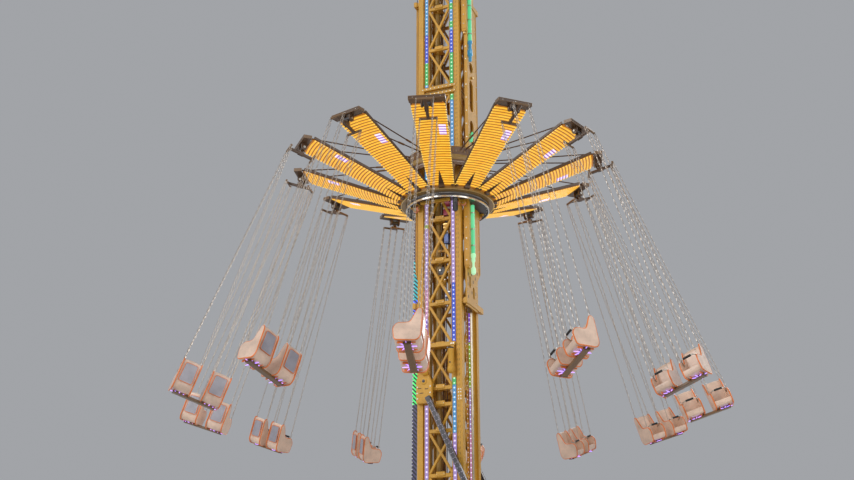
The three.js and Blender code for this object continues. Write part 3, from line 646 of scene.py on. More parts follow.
def piece(name, body, parts, replaces=()):
    """One Blender mesh from (shape, material) parts, riding on its body. A part with several materials gives
    them as a list, which its paint numbers count through."""
    materials, shapes = [], []
    for shape, finish in parts:
        finishes = finish if isinstance(finish, list) else [finish]
        for one in finishes:
            if one not in materials:
                materials.append(one)
        numbers = np.array([materials.index(one) for one in finishes])
        shapes.append(Shape(shape.points, shape.corners, shape.counts, numbers[shape.paint]))
    whole = joined(shapes)
    mesh = bpy.data.meshes.new(name)
    mesh.vertices.add(len(whole.points))
    mesh.vertices.foreach_set("co", whole.points.ravel())
    mesh.loops.add(len(whole.corners))
    mesh.loops.foreach_set("vertex_index", whole.corners)
    mesh.polygons.add(len(whole.counts))
    mesh.polygons.foreach_set("loop_start", np.cumsum(whole.counts) - whole.counts)
    mesh.polygons.foreach_set("material_index", whole.paint)
    mesh.polygons.foreach_set("use_smooth", np.ones(len(whole.counts), bool))
    for finish in materials:
        mesh.materials.append(finish)
    mesh.update(calc_edges=True)
    mesh.validate()
    mesh.set_sharp_from_angle(angle=math.radians(SHARP_DEGREES))
    made = bpy.data.objects.new(name, mesh)
    bpy.context.scene.collection.objects.link(made)
    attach(made, body)
    if replaces:
        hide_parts(*replaces)


def carried(parts, place):
    """The parts of a sub-assembly at a place."""
    return [(shape.at(place), finish) for shape, finish in parts]


# The tower
FACES = [turned_z(k * math.pi / 2) for k in range(4)]
FRONT_AND_BACK = (FACES[0], FACES[2])
SIDE_FACES = (FACES[1], FACES[3])
MIRROR_Y = np.diag([1.0, -1.0, 1.0, 1.0])
LACE_Y = -0.555
OPEN_HALF = 0.300
ROW_X = 0.375
TRAY_HALF = 0.057
TRAY_DEPTH = 0.024
LAMP_PITCH = 0.12
STRIP_BACK = LACE_Y - 0.0055
STRIP_FRONT = LACE_Y - 0.0095
LENS_BACK = LACE_Y - 0.0098
LOWEST = 0.98
HIGHEST = 25.18
ROW_GAPS = {-1: (7.02, 8.58), 1: (7.66, 8.58)}
RAIL_ROW_X = -0.185
RAIL_FLANK = (0.606, -0.0605)
RAIL_TRAY_HALF = 0.029
RAIL_ROW_TOP = 9.45
FRONTWARD = facing((0, -1, 0), (0, 0, 0))
SIDEWAYS = axes_place((0, 0, 0), (0, 1, 0), (0, 0, 1), (1, 0, 0))
UPRIGHT = axes_place((0, 0, 0), (1, 0, 0), (0, 0, 1), (0, -1, 0))
LENS_RIM = lathe([(0.034, 0), (0.027, 0.008)], 6).at(FRONTWARD)
LENS_EYE = lathe([(0.022, 0.007), (0.017, 0.013), (0.007, 0.016)], 6).at(FRONTWARD)
SMALL_EYE = dome(0.017, 0.012).at(FRONTWARD)


def on_faces(shape, faces=FACES):
    """A shape of the front face, repeated on the faces given."""
    return repeated(shape, faces)


def mirrored(shape):
    """A shape of the front and its mirror image at the back together."""
    return joined([shape, shape.at(MIRROR_Y).outward()])


def lamp_run(x, half, low, high):
    """One tray up the front face: its folded channel, its lit strip and the places of its lenses."""
    wall, deep = half - 0.004, TRAY_DEPTH
    channel = np.array([(-half, 0), (half, 0), (half, -deep), (wall, -deep), (wall, -0.005), (-wall, -0.005),
                        (-wall, -deep), (-half, -deep)])
    tray = plate(channel + (x, LACE_Y - 0.0003), low, high, 0.001)
    strip = block((x - wall + 0.002, STRIP_FRONT, low + 0.01), (x + wall - 0.002, STRIP_BACK, high - 0.01),
                  0.001)
    levels = np.arange(low + LAMP_PITCH / 2, high - 0.02, LAMP_PITCH)
    return tray, strip, [moved(x, LENS_BACK, z) for z in levels]


def lamp_rows():
    """Two trays up the front and the back, broken at the stops and at the upper joint. A lens has a tinted
    rim round a pale middle."""
    trays, strips, spots = [], [], []
    for side in (-1, 1):
        low, high = ROW_GAPS[side]
        for run in ((LOWEST, low), (high, UPPER_JOINT[0] - 0.02), (UPPER_JOINT[1] + 0.02, HIGHEST)):
            tray, strip, places = lamp_run(side * ROW_X, TRAY_HALF, *run)
            trays.append(tray)
            strips.append(strip)
            spots += places
    parts = [(joined(trays), TOWER_PAINT), (joined(strips), ROW_GLOW), (repeated(LENS_RIM, spots), ROW_RIM),
             (repeated(LENS_EYE, spots), ROW_LAMP)]
    return [(mirrored(shape), finish) for shape, finish in parts]


def rail_rows():
    """Narrow trays below the slides: one on each side face beside the rail, one on the rail's own flank."""
    parts = []
    flank_x, flank_y = RAIL_FLANK
    runs = ((RAIL_ROW_X, np.eye(4), SIDE_FACES), (flank_x, moved(0, flank_y - LACE_Y, 0), FRONT_AND_BACK))
    for (x, shift, faces), glow in zip(runs, RAIL_GLOWS):
        tray, strip, spots = lamp_run(x, RAIL_TRAY_HALF, LOWEST, RAIL_ROW_TOP)
        lamps = [(tray, TOWER_PAINT), (strip, glow), (repeated(SMALL_EYE, spots), ROW_LAMP)]
        parts += [(on_faces(shape.at(shift), faces), finish) for shape, finish in lamps]
    return parts


def tower_bars():
    """A welded bar along each diagonal and a flat hollow section along each horizontal, proud of the
    lacing, with a weld plate where two diagonals cross."""
    bars = []
    for low, high in zip(LEVELS[:-1], LEVELS[1:]):
        foot, head = low + 0.05, high - 0.05
        if (low, high) in (LOWER_JOINT, UPPER_JOINT):
            continue
        if high == LOWER_JOINT[0]:
            bars += [beam((0, LACE_Y, foot + 0.01), (s * OPEN_HALF, LACE_Y, head), 0.052, 0.022,
                          up=(0, 1, 0)) for s in (-1, 1)]
            continue
        for s, depth in ((-1, 0.018), (1, 0.026)):
            bars.append(beam((-s * OPEN_HALF, LACE_Y, foot), (s * OPEN_HALF, LACE_Y, head), 0.052, depth,
                             up=(0, 1, 0)))
        middle = (low + high) / 2
        bars.append(block((-0.036, LACE_Y - 0.010, middle - 0.036), (0.036, LACE_Y, middle + 0.036)))
    for z in LEVELS[1:-1]:
        bars.append(block((-OPEN_HALF - 0.012, LACE_Y - 0.020, z - 0.044),
                          (OPEN_HALF + 0.012, LACE_Y, z + 0.044), 0.006))
    return [(on_faces(joined(bars)), TOWER_PAINT)]


def post_details():
    """Screws up the edge strips, dashed slots up one post of the front and the back, drawn as black patches
    of painted shade, and splices at the lower joint."""
    head_pitch, dash_pitch = 0.705, 0.13
    head_levels = np.arange(LOWEST + 0.3, HIGHEST, head_pitch)
    heads = [moved(s * 0.446, LACE_Y, z) for z in head_levels for s in (-1, 1)]
    dashes = [moved(x, 0, z) for z in np.arange(LOWEST + 0.1, HIGHEST, dash_pitch) for x in (0.490, 0.535)]
    # A slot is a thin black patch on the post: painted shade where the opening is
    dash = block((-0.0035, -HALF - 0.0006, -0.030), (0.0035, -HALF + 0.002, 0.030), 0.0004)
    low, high = LOWER_JOINT
    splice = block((0.475, -HALF - 0.008, low + 0.04), (0.597, -HALF + 0.002, high - 0.04), 0.002)
    splice_heads = [moved(x, -HALF - 0.008, low + dz) for x in (0.505, 0.567)
                    for dz in (0.09, 0.16, 0.26, 0.33)]
    return [(on_faces(bolts(heads, 0.008, 0.007, FRONTWARD)), ZINC),
            (on_faces(repeated(dash, dashes), FRONT_AND_BACK), RUBBER_AND_HOLE_SHADE), (mirrored(splice), TOWER_PAINT),
            (mirrored(bolts(splice_heads, 0.013, 0.011, FRONTWARD)), ZINC)]


def joint_flanges():
    """At the upper joint two bolted flanges on the front and the back with a dark seam between them, and
    the seam alone on the sides."""
    low, high = UPPER_JOINT
    middle = (low + high) / 2
    flanges, heads = [], []
    for z0, z1 in ((low + 0.008, low + 0.098), (high - 0.098, high - 0.008)):
        flanges.append(block((-0.512, -HALF - 0.016, z0), (0.512, LACE_Y, z1), 0.006))
        heads += [moved(x, -HALF - 0.016, (z0 + z1) / 2) for x in np.linspace(-0.47, 0.47, 9)]
    seam = block((-0.455, LACE_Y - 0.003, middle - 0.012), (0.455, LACE_Y + 0.001, middle + 0.012), 0.001)
    brackets = [block((s * 0.44, -HALF - 0.006, middle - 0.13), (s * 0.512, LACE_Y, middle + 0.13), 0.004)
                for s in (-1, 1)]
    return [(on_faces(joined([*flanges, *brackets]), FRONT_AND_BACK), TOWER_PAINT), (on_faces(seam), RUBBER_AND_HOLE_SHADE),
            (on_faces(bolts(heads, 0.011, 0.009, FRONTWARD), FRONT_AND_BACK), ZINC)]


def node_boxes():
    """A box on the middle of every horizontal of the front and back faces, with two small screws."""
    boxes, heads = [], []
    for z in LEVELS[1:-1]:
        if z in UPPER_JOINT:
            continue
        boxes.append(block((-0.120, LACE_Y - 0.046, z - 0.018), (0.120, LACE_Y - 0.001, z + 0.088), 0.008))
        heads += [moved(x, LACE_Y - 0.046, z + 0.035) for x in (-0.098, 0.098)]
    return [(on_faces(joined(boxes), FRONT_AND_BACK), TOWER_PAINT),
            (on_faces(bolts(heads, 0.006, 0.005, FRONTWARD), FRONT_AND_BACK), ZINC)]


PIPES = ((-0.150, -0.300, 0.085), (-0.370, -0.300, 0.045), (0.240, 0.300, 0.060))
CABLES = ((-0.045, -0.250), (-0.015, -0.240), (0.030, -0.200))
CABLE_R = 0.010
CABLE_STEPS = 160
CLAMP_Y = 0.530


def inner_pipes():
    """Pipes and cables up inside the tower between its foot and its head, clamped to every horizontal."""
    pipes, clamps, cables = [], [], []
    for x, y, radius in PIPES:
        pipes.append(rod((x, y, TOWER_FOOT), (x, y, TOWER_TOP), radius, 20))
        for z in LEVELS[1:-1]:
            profile = [(radius, -0.05), (radius + 0.012, -0.046), (radius + 0.012, 0.046), (radius, 0.05)]
            clamps.append(lathe(profile, 20).at(moved(x, y, z)))
            clamps.append(block((x - 0.020, math.copysign(CLAMP_Y, y), z - 0.018),
                                (x + 0.020, y, z + 0.018)))
    for number, (x, y) in enumerate(CABLES):
        levels = np.linspace(TOWER_FOOT, TOWER_TOP, CABLE_STEPS)
        path = np.column_stack([x + 0.008 * np.sin(levels * 1.7 + number), np.full(CABLE_STEPS, y), levels])
        cables.append(along(path, circle(CABLE_R, 8), up=(0, 1, 0)))
    for z in LEVELS[1:-1]:
        clamps.append(block((CABLES[0][0] - 0.025, -CLAMP_Y, z - 0.012),
                            (CABLES[-1][0] + 0.025, -0.185, z + 0.012)))
    return [(joined(pipes), PIPE_PAINT), (joined(clamps), TOWER_PAINT), (joined(cables), DARK_METAL)]


def hoist():
    """The hoist inside the front face under the star: two bars, a frame with a slanting gusset, a dark
    pulley and a bracket below, all on feet that reach the front's horizontals."""
    bar_y, frame_y, back_y = -0.380, -0.400, -0.300
    frame = [block((-0.235, bar_y, z), (0.150, -0.340, z + 0.07), 0.005) for z in (10.90, 11.11)]
    frame += [block((x, frame_y, 10.45), (x + 0.030, back_y, 11.12), 0.005) for x in (-0.230, 0.070)]
    frame += [block((-0.230, frame_y, 10.42), (0.100, back_y, 10.47), 0.005),
              block((-0.030, frame_y, 10.12), (0.090, -0.320, 10.36), 0.006),
              block((0.015, -0.385, 10.34), (0.045, -0.335, 10.44), 0.003)]
    rest = LEVELS[11]
    frame += [block((x, -CLAMP_Y, rest - 0.03), (x + 0.04, -0.360, rest + 0.16), 0.005)
              for x in (-0.235, 0.110)]
    gusset = plate([(-0.20, 10.89), (0.06, 10.89), (-0.05, 10.64), (-0.20, 10.64)], 0.365, 0.385, 0.003)
    pin_x, pin_z = -0.065, 10.600
    pulley = [(0.095, -0.03), (0.125, -0.028), (0.108, -0.010), (0.108, 0.010), (0.125, 0.028),
              (0.095, 0.03)]
    wheel = lathe(pulley, 28).at(facing((0, -1, 0), (pin_x, -0.350, pin_z)))
    pin = rod((pin_x, frame_y - 0.010, pin_z), (pin_x, back_y, pin_z), 0.026, 12)
    spots = [moved(x, bar_y, z) for x in (-0.20, -0.04, 0.12) for z in (10.935, 11.145)]
    spots += [moved(x, frame_y, z) for x in (-0.005, 0.065) for z in (10.15, 10.33)]
    return [(joined(frame), TOWER_PAINT), (gusset.at(UPRIGHT), PIPE_PAINT), (wheel, DARK_METAL), (pin, ZINC),
            (bolts(spots, 0.012, 0.010, FRONTWARD), ZINC)]


def cabinets():
    """Small switch boxes inside the right half of the front face, each with two bands round it, on a post
    that is held to the horizontals."""
    post = [block((0.150, -0.375, z0), (0.200, -0.335, z1), 0.004)
            for z0, z1 in ((9.60, 10.84), (10.76, 13.24))]
    post += [block((0.155, -CLAMP_Y, z - 0.02), (0.195, -0.340, z + 0.02), 0.003) for z in LEVELS[10:14]]
    front, back = -0.520, -0.370
    boxes = (((0.085, 12.08, 0.265, 12.66), CABINET_RED, CABINET_WHITE),
             ((0.080, 11.70, 0.215, 11.86), TOWER_PAINT, BRASS),
             ((0.100, 11.30, 0.220, 11.58), CABINET_BLUE, DARK_METAL),
             ((0.120, 9.80, 0.255, 9.97), CABINET_BLUE, ZINC))
    parts = [(joined(post), TOWER_PAINT)]
    for (x0, z0, x1, z1), body, band in boxes:
        parts.append((block((x0, front, z0), (x1, back, z1), 0.006), body))
        stripes, ease = ((z1 - 0.04, z1 - 0.012), (z0 + 0.03, z0 + 0.045)), 0.002
        if band is CABINET_WHITE:
            stripes, ease = ((12.50, 12.62), (12.26, 12.31)), 0.003
        bands = [block((x0 - 0.003, front - 0.003, low), (x1 + 0.003, back + 0.004, high), ease)
                 for low, high in stripes]
        parts.append((joined(bands), band))
    return parts


piece("tower_lamp_rows", "root", lamp_rows() + rail_rows())
piece("tower_welded_bars", "root", tower_bars())
piece("tower_post_details", "root", post_details() + joint_flanges())
piece("tower_node_boxes", "root", node_boxes())
piece("tower_inner_pipes", "root", inner_pipes())
piece("tower_hoist_and_cabinets", "root", hoist() + cabinets())


# The struts and their lamps
STRUT_HEAD = np.array((-0.255, 0.0, 7.180))
STRUT_FOOT = np.array((2.857, 0.0, 0.340))
STRUT_HALF = 0.060
STRUT_Y = 0.780
STRUT_LAMP_PITCH = 0.13


def strut_lamps():
    """Twin rows of dim lenses between two pale edges along the outer side of each strut, a cap at its head
    and bolts on its shoe."""
    lamps, edges, caps, heads = [], [], [], []
    run = (STRUT_FOOT - STRUT_HEAD) / np.linalg.norm(STRUT_FOOT - STRUT_HEAD)
    across = np.cross(run, (0, 1, 0))
    length = np.linalg.norm(STRUT_FOOT - STRUT_HEAD)
    for side in (-1, 1):
        top = STRUT_HEAD + (0, side * (STRUT_Y + STRUT_HALF), 0)
        middle = STRUT_HEAD + (0, side * STRUT_Y, 0)
        lens = dome(0.012, 0.009).at(facing((0, side, 0), (0, 0, 0)))
        reaches = np.arange(0.16, length - 0.15, STRUT_LAMP_PITCH)
        spots = [top + run * s + across * t for s in reaches for t in (-0.028, 0.028)]
        lamps.append(repeated(lens, [moved(*spot) for spot in spots]))
        for t in (-0.054, 0.054):
            start = top + run * 0.10 + across * t
            edges.append(beam(start, start + run * (length - 0.22), 0.010, 0.006, 0.002, (0, 1, 0)))
        caps.append(beam(middle + run * 0.005, middle + run * 0.10, 0.132, 0.132, 0.006, (0, 1, 0)))
        heads += [moved(x, side * STRUT_Y + dy, 0.400) for x in (2.66, 3.00) for dy in (-0.062, 0.062)]
    return [(joined(lamps), STRUT_LAMP), (joined(edges), STRUT_EDGE), (joined(caps), STRUT_PAINT),
            (bolts(heads, 0.016, 0.012), ZINC)]


piece("strut_lamp_rows", "root", strut_lamps())


# The stops on the tower with their buffers
BUFFER_X = 0.355
BUFFER_Y = -0.735
WALL_Y = -HALF - 0.0003
STOP_BAR_Y = WALL_Y - 0.030
PIN_PLATE_Y = -0.7197
PIN_X = -0.390
PIN_Z = 7.600


def buffer(x):
    """A buffer that hangs head down: a sleeve with a collar and a dark cap on top, an eye on a lug at its
    front, and below it a bulb whose profile is a round shoulder over half a ball."""
    sleeve = lathe([(0.066, 7.900), (0.072, 7.906), (0.072, 8.300), (0.075, 8.306), (0.075, 8.362)], 28)
    cap = lathe([(0.074, 8.360), (0.075, 8.364), (0.075, 8.394), (0.068, 8.400)], 28)
    ball = [(0.026, 7.731), (0.062, 7.748), (0.086, 7.780), (0.094, 7.820), (0.093, 7.870), (0.080, 7.905),
            (0.060, 7.916)]
    eye = rod((0, -0.060, 8.000), (0, -0.077, 8.000), 0.022, 12)
    lug = block((-0.034, -0.074, 7.960), (0.034, 0.0, 8.040), 0.010)
    parts = [(sleeve, TOWER_PAINT), (cap, RUBBER_AND_HOLE_SHADE), (lathe(ball, 28), TOWER_PAINT), (lug, TOWER_PAINT),
             (eye, RUBBER_AND_HOLE_SHADE)]
    return carried(parts, moved(x, BUFFER_Y, 0))


def stop_parts():
    """For the front face: the flat bar, the hangers with gussets, two buffers, and the plate that the strut
    is pinned to with its round eye."""
    flat = block((-0.430, STOP_BAR_Y, 8.475), (0.430, WALL_Y, 8.585), 0.006)
    hangers = []
    for x in (-BUFFER_X, BUFFER_X):
        hangers.append(block((x - 0.050, STOP_BAR_Y, 8.200), (x + 0.050, WALL_Y, 8.495), 0.006))
        hangers.append(block((x - 0.050, BUFFER_Y, 8.200), (x + 0.050, WALL_Y, 8.360), 0.008))
        fin = [(WALL_Y, 8.05), (WALL_Y, 8.21), (-0.700, 8.21)]
        hangers += [plate(fin, x + dx - 0.006, x + dx + 0.006, 0.002).at(SIDEWAYS) for dx in (-0.040, 0.040)]
    outline = rounded([(-0.600, 7.040), (-0.180, 7.040), (-0.180, 7.560), (-0.270, 7.780), (-0.490, 7.780),
                       (-0.600, 7.640)], 0.05, 4)
    strut_plate = plate(outline, -WALL_Y, -PIN_PLATE_Y, 0.010).at(UPRIGHT)
    rib = plate(rounded([(-0.575, 7.075), (-0.205, 7.075), (-0.205, 7.120), (-0.575, 7.120)], 0.01), 0.700,
                0.7260, 0.002)
    round_plate = lathe([(0.085, 0), (0.085, 0.012), (0.070, 0.020), (0.045, 0.020)], 28)
    eye = round_plate.at(facing((0, -1, 0), (PIN_X, -0.7180, PIN_Z)))
    # Slots in the strut plate drawn as thin black patches: painted shade inside them
    slots = [block((x0, -0.7215, z - 0.010), (x1, -0.7185, z + 0.010), 0.001)
             for x0, x1, z in ((-0.55, -0.46, 7.42), (-0.36, -0.27, 7.40), (-0.50, -0.40, 7.30))]
    heads = [moved(x, PIN_PLATE_Y, z) for x in (-0.565, -0.215) for z in (7.16, 7.30, 7.46)]
    low_heads = [moved(x + dx, STOP_BAR_Y, 8.53) for x in (-BUFFER_X, BUFFER_X) for dx in (-0.03, 0.03)]
    middle = bolt_head(0.030, 0.022).at(facing((0, -1, 0), (PIN_X, -0.7370, PIN_Z)))
    parts = [(joined([flat, *hangers]), TOWER_PAINT), (strut_plate, TOWER_PAINT),
             (rib.at(UPRIGHT), TOWER_PAINT), (eye, TOWER_PAINT), (joined(slots), RUBBER_AND_HOLE_SHADE),
             (bolts(heads, side=FRONTWARD), ZINC), (middle, DARK_METAL),
             (bolts(low_heads, 0.014, 0.004, FRONTWARD), ZINC)]
    for x in (-BUFFER_X, BUFFER_X):
        parts += buffer(x)
    return parts


STOPS = stop_parts()
piece("stop_and_buffers_front", "root", STOPS, replaces=["stop_plate_front"])
piece("stop_and_buffers_back", "root", [(s.at(MIRROR_Y).outward(), f) for s, f in STOPS],
      replaces=["stop_plate_back"])


# The carriage: bearing, guide rollers, drives and the lit tubes on the slides
def toothed_bearing():
    """The bearing as a ring with teeth: its outer radius steps in and out 120 times round, with four points
    to a tooth, between two plain flanges."""
    lo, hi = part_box("slewing_bearing")
    teeth, per_tooth = 120, 4
    angles = np.arange(teeth * per_tooth) * 2 * math.pi / (teeth * per_tooth)
    bore, root, tooth = 1.036, 1.107, 0.012
    outer = root + tooth * np.tile([0.0, 1.0, 1.0, 0.0], teeth)
    inner = np.full_like(outer, bore)
    low, high = lo.z + 0.012, hi.z - 0.012
    radii = [inner, inner, outer - 0.003, outer, outer, outer - 0.003]
    heights = [high, low, low, low + 0.004, high - 0.004, high]
    points = np.stack([np.column_stack([r * np.cos(angles), r * np.sin(angles), np.full_like(r, z)])
                       for r, z in zip(radii, heights)], 1)
    gear = net(points, around=True, loop=True)
    flanges = [hoop([(1.038, z0), (1.098, z0), (1.100, z0 + 0.002), (1.100, z1), (1.038, z1)])
               for z0, z1 in ((lo.z, low + 0.002), (high - 0.002, hi.z))]
    return [(gear, BEARING_STEEL), (joined(flanges), BEARING_STEEL)]


piece("slewing_ring", "carriage", toothed_bearing(), replaces=["slewing_bearing"])

ROLLER_R = 0.0690
ROLLER_HALF = 0.028
ROLLER_X = 0.578
GUIDE_Z = RING_Z - 0.285
PLATE_UNDER = RING_Z - 0.190


def guide_roller():
    """A roller along Z: a tyre with eased shoulders on a hub with a pin through it."""
    shoulder = 0.008
    tyre = lathe([(ROLLER_R * 0.62, -ROLLER_HALF), (ROLLER_R - shoulder, -ROLLER_HALF),
                  (ROLLER_R, -ROLLER_HALF + shoulder), (ROLLER_R, ROLLER_HALF - shoulder),
                  (ROLLER_R - shoulder, ROLLER_HALF), (ROLLER_R * 0.62, ROLLER_HALF)], 24)
    hub = rod((0, 0, -ROLLER_HALF - 0.006), (0, 0, ROLLER_HALF + 0.006), ROLLER_R * 0.5, 16)
    pin = rod((0, 0, -ROLLER_HALF - 0.03), (0, 0, ROLLER_HALF + 0.03), 0.014, 10)
    return tyre, hub, pin


def guide_rollers():
    """A roller in a forked bracket under the plate at both ends of each tower face."""
    tyres, hubs, pins, brackets = [], [], [], []
    rise = PLATE_UNDER - GUIDE_Z
    cheek = rounded([(-0.055, rise), (0.110, rise), (0.050, -0.045), (-0.035, -0.045)], 0.03)
    for face in FACES:
        for side in (-1, 1):
            spot = face @ moved(side * ROLLER_X, -HALF - ROLLER_R - 0.0015, GUIDE_Z)
            tyre, hub, pin = (s.at(spot @ SIDEWAYS) for s in guide_roller())
            tyres.append(tyre)
            hubs.append(hub)
            pins.append(pin)
            for x in (-ROLLER_HALF - 0.022, ROLLER_HALF + 0.010):
                flat = axes_place((x, 0, 0), (0, -1, 0), (0, 0, 1), (-1, 0, 0))
                brackets.append(plate(cheek, -0.012, 0, 0.002).at(spot @ flat))
            brackets.append(block((-0.050, -0.150, rise - 0.030), (0.050, -0.085, rise), 0.006).at(spot))
    return [(joined(tyres), ROLLER_TYRE), (joined(hubs), BRASS), (joined(pins), ZINC),
            (joined(brackets), TOWER_PAINT)]


def carriage_details():
    """Two beams under the plate in front of and behind the tower, a bright band round its underside, two
    slewing drives with finned motors, and rim bolts."""
    beams, drives = [], []
    for way in (-1, 1):
        y0, y1 = sorted((way * 0.830, way * 0.905))
        beams.append(block((-0.420, y0, PLATE_UNDER - 0.080), (0.420, y1, PLATE_UNDER), 0.008))
        beams += [block((x - 0.007, y0, PLATE_UNDER - 0.086), (x + 0.007, y1, PLATE_UNDER), 0.003)
                  for x in (-0.30, -0.10, 0.10, 0.30)]
    band = hoop([(1.100, -0.232), (1.125, -0.232), (1.1295, -0.228), (1.1295, -0.1905), (1.100, -0.1905)],
                96)
    for turn in (0.0, math.pi):
        spot = turned_z(turn) @ moved(0.56, -0.86, PLATE_UNDER)
        body = [(0.076, 0.002), (0.076, -0.030), (0.064, -0.040), (0.064, -0.150), (0.074, -0.160),
                (0.074, -0.190), (0.056, -0.200), (0.056, -0.380), (0.048, -0.398), (0.016, -0.405)]
        drives.append(lathe(body, 24).at(spot))
        fin = block((-0.004, 0.050, -0.37), (0.004, 0.070, -0.215))
        drives.append(repeated(fin, [spot @ turned_z(a) for a in np.arange(12) * math.pi / 6]))
    heads = [turned_z(a) @ moved(1.062, 0, PLATE_UNDER) @ np.diag([1.0, -1.0, -1.0, 1.0])
             for a in (np.arange(36) + 0.5) * math.pi / 18]
    return [(joined(beams), TOWER_PAINT), (band.at(moved(0, 0, RING_Z)), CHROME),
            (joined(drives), DARK_METAL), (bolts(heads, 0.014, 0.012), ZINC)]


piece("carriage_rollers_and_drives", "carriage", guide_rollers() + carriage_details())

TUBE_X = 0.812
TUBE_Y = -0.240
TUBE_R = 0.052
WEB_X = 0.745
COLUMN_Y = -0.510
HIGH_TUBE = (RING_Z + 4.73, RING_Z + 6.30)
LOW_TUBE = (RING_Z - 1.64, RING_Z - 0.24)
CLIP_PITCH = 0.46
OUTWARD = facing((1, 0, 0), (0, 0, 0))
UPPER_FITTING = ((0.030, -0.62), (0.045, -0.60), (0.045, -0.46), (0.064, -0.44), (0.064, -0.26),
                 (0.046, -0.24), (0.046, -0.06), (0.064, -0.05), (0.064, 0.02), (0.052, 0.03))
LOWER_BULB = ((0.020, -0.55), (0.055, -0.52), (0.064, -0.45), (0.055, -0.37), (0.030, -0.33), (0.030, -0.22),
              (0.050, -0.18), (0.050, -0.08), (0.064, -0.06), (0.064, 0.02), (0.052, 0.03))
ELBOW = ((0.025, 0), (0.046, 0.03), (0.046, 0.18), (0.032, 0.22), (0.042, 0.30), (0.018, 0.36))
# Places of the slots in the slide's foot, each drawn as a black patch of painted shade
FOOT_SLOTS = ((-0.44, -2.22), (-0.22, -2.16), (-0.10, -2.34), (0.06, -2.20), (-0.48, -2.50), (-0.20, -2.66),
              (0.08, -2.62), (-0.45, -2.84), (-0.25, -2.96), (0.12, -2.90), (-0.05, -2.08), (0.20, -2.02))


def slide_tubes():
    """The lit tubes beside the right slide above and below the star, clipped to its web, with a teal
    fitting under the upper one, a pale bulb under the lower one and a lit elbow between them."""
    at = moved(TUBE_X, TUBE_Y, 0)
    tubes, clips = [], []
    for low, high in (HIGH_TUBE, LOW_TUBE):
        tubes.append(rod((TUBE_X, TUBE_Y, low), (TUBE_X, TUBE_Y, high), TUBE_R, 24, 0.01))
        for level in np.arange(low + 0.25, high - 0.1, CLIP_PITCH):
            clip = [(TUBE_R - 0.003, level - 0.014), (TUBE_R + 0.006, level - 0.014),
                    (TUBE_R + 0.006, level + 0.014), (TUBE_R - 0.003, level + 0.014)]
            clips.append(hoop(clip, 24).at(at))
            clips.append(block((WEB_X - 0.004, TUBE_Y - 0.018, level - 0.014),
                               (TUBE_X - TUBE_R + 0.004, TUBE_Y + 0.018, level + 0.014)))
    high, low = HIGH_TUBE[0], LOW_TUBE[0]
    teal = [lathe(UPPER_FITTING, 24).at(moved(TUBE_X, TUBE_Y, high)),
            block((WEB_X + 0.001, -0.330, high - 0.42), (0.860, -0.150, high - 0.30), 0.010)]
    bulb = lathe(LOWER_BULB, 24).at(moved(TUBE_X, TUBE_Y, low))
    start = (0.795, TUBE_Y, RING_Z + 1.63)
    elbow = lathe(ELBOW, 20).at(towards(start, (0.795, -0.120, RING_Z + 1.99))[0])
    stems = [block((WEB_X - 0.004, y - 0.016, z - 0.016), (x, y + 0.016, z + 0.016))
             for x, y, z in ((TUBE_X, TUBE_Y, high - 0.15), (TUBE_X, TUBE_Y, low - 0.13),
                             (0.790, -0.215, RING_Z + 1.72), (0.790, -0.155, RING_Z + 1.90))]
    return [(joined(tubes), GREEN_GLOW), (joined([*clips, *stems]), ZINC), (joined(teal), TEAL_GLOW),
            (bulb, GREEN_PALE), (elbow, GREEN_GLOW)]


def slide_details():
    """A cap with a bulb under the upper column, a round bar under the lower one, strips up the fronts of
    both, a lip up the back edge, a knob in the web, slots in the foot drawn as dark patches of painted
    shade, and bolts."""
    z = RING_Z
    steel = [block((0.660, -0.505, z + 4.96), (0.795, -0.405, z + 5.045), 0.012),
             block((0.735, 0.405, z - 2.00), (0.757, 0.428, z + 6.05), 0.004),
             rod((0.665, -0.455, z - 2.03), (0.790, -0.455, z - 2.03), 0.050, 20)]
    steel += [block((x, COLUMN_Y - 0.004, low), (x + 0.030, COLUMN_Y + 0.003, high), 0.002)
              for low, high in ((z + 5.10, z + 6.34), (z - 1.98, z - 0.25), (z - 0.06, z + 0.74))
              for x in (0.662, 0.764)]
    bulb = lathe([(0.020, -0.09), (0.046, -0.075), (0.050, -0.045), (0.040, -0.012), (0.040, 0.0)], 20)
    knob = lathe([(0.030, 0.0), (0.044, 0.012), (0.046, 0.036), (0.026, 0.052)], 20)
    fittings = [bulb.at(moved(0.728, -0.455, z + 4.97)),
                knob.at(moved(WEB_X - 0.001, 0.02, z + 3.72) @ OUTWARD)]
    # The foot's slots: thin black patches, painted shade where the openings are
    slot = rounded([(-0.020, -0.045), (0.020, -0.045), (0.020, 0.045), (-0.020, 0.045)], 0.02)
    slots = [plate(slot, 0.744, 0.7462, 0.0005).at(moved(0, y, z + dz) @ SIDEWAYS) for y, dz in FOOT_SLOTS]
    side_bolts = [moved(WEB_X, 0.36, z + dz) for dz in np.arange(-1.8, 6.0, 0.45)]
    side_bolts += [moved(WEB_X, y, z + dz) for y in (-0.53, 0.16) for dz in (-3.00, -2.72, -2.38)]
    front_bolts = [moved(0.752, -0.450, z + dz) for dz in np.arange(0.9, 4.9, 0.4)]
    front_bolts += [moved(0.7275, COLUMN_Y, z + dz)
                    for dz in (*np.arange(-1.85, -0.30, 0.3), *np.arange(5.2, 6.3, 0.3))]
    return [(joined(steel), TOWER_PAINT), (joined(fittings), BRASS), (joined(slots), RUBBER_AND_HOLE_SHADE),
            (bolts(side_bolts, 0.013, 0.010, OUTWARD), ZINC),
            (bolts(front_bolts, 0.013, 0.010, FRONTWARD), ZINC)]


SLIDE = slide_tubes() + slide_details()
for side, turn in (("right", 0.0), ("left", math.pi)):
    piece("slide_lights_" + side, "carriage", carried(SLIDE, turned_z(turn)))


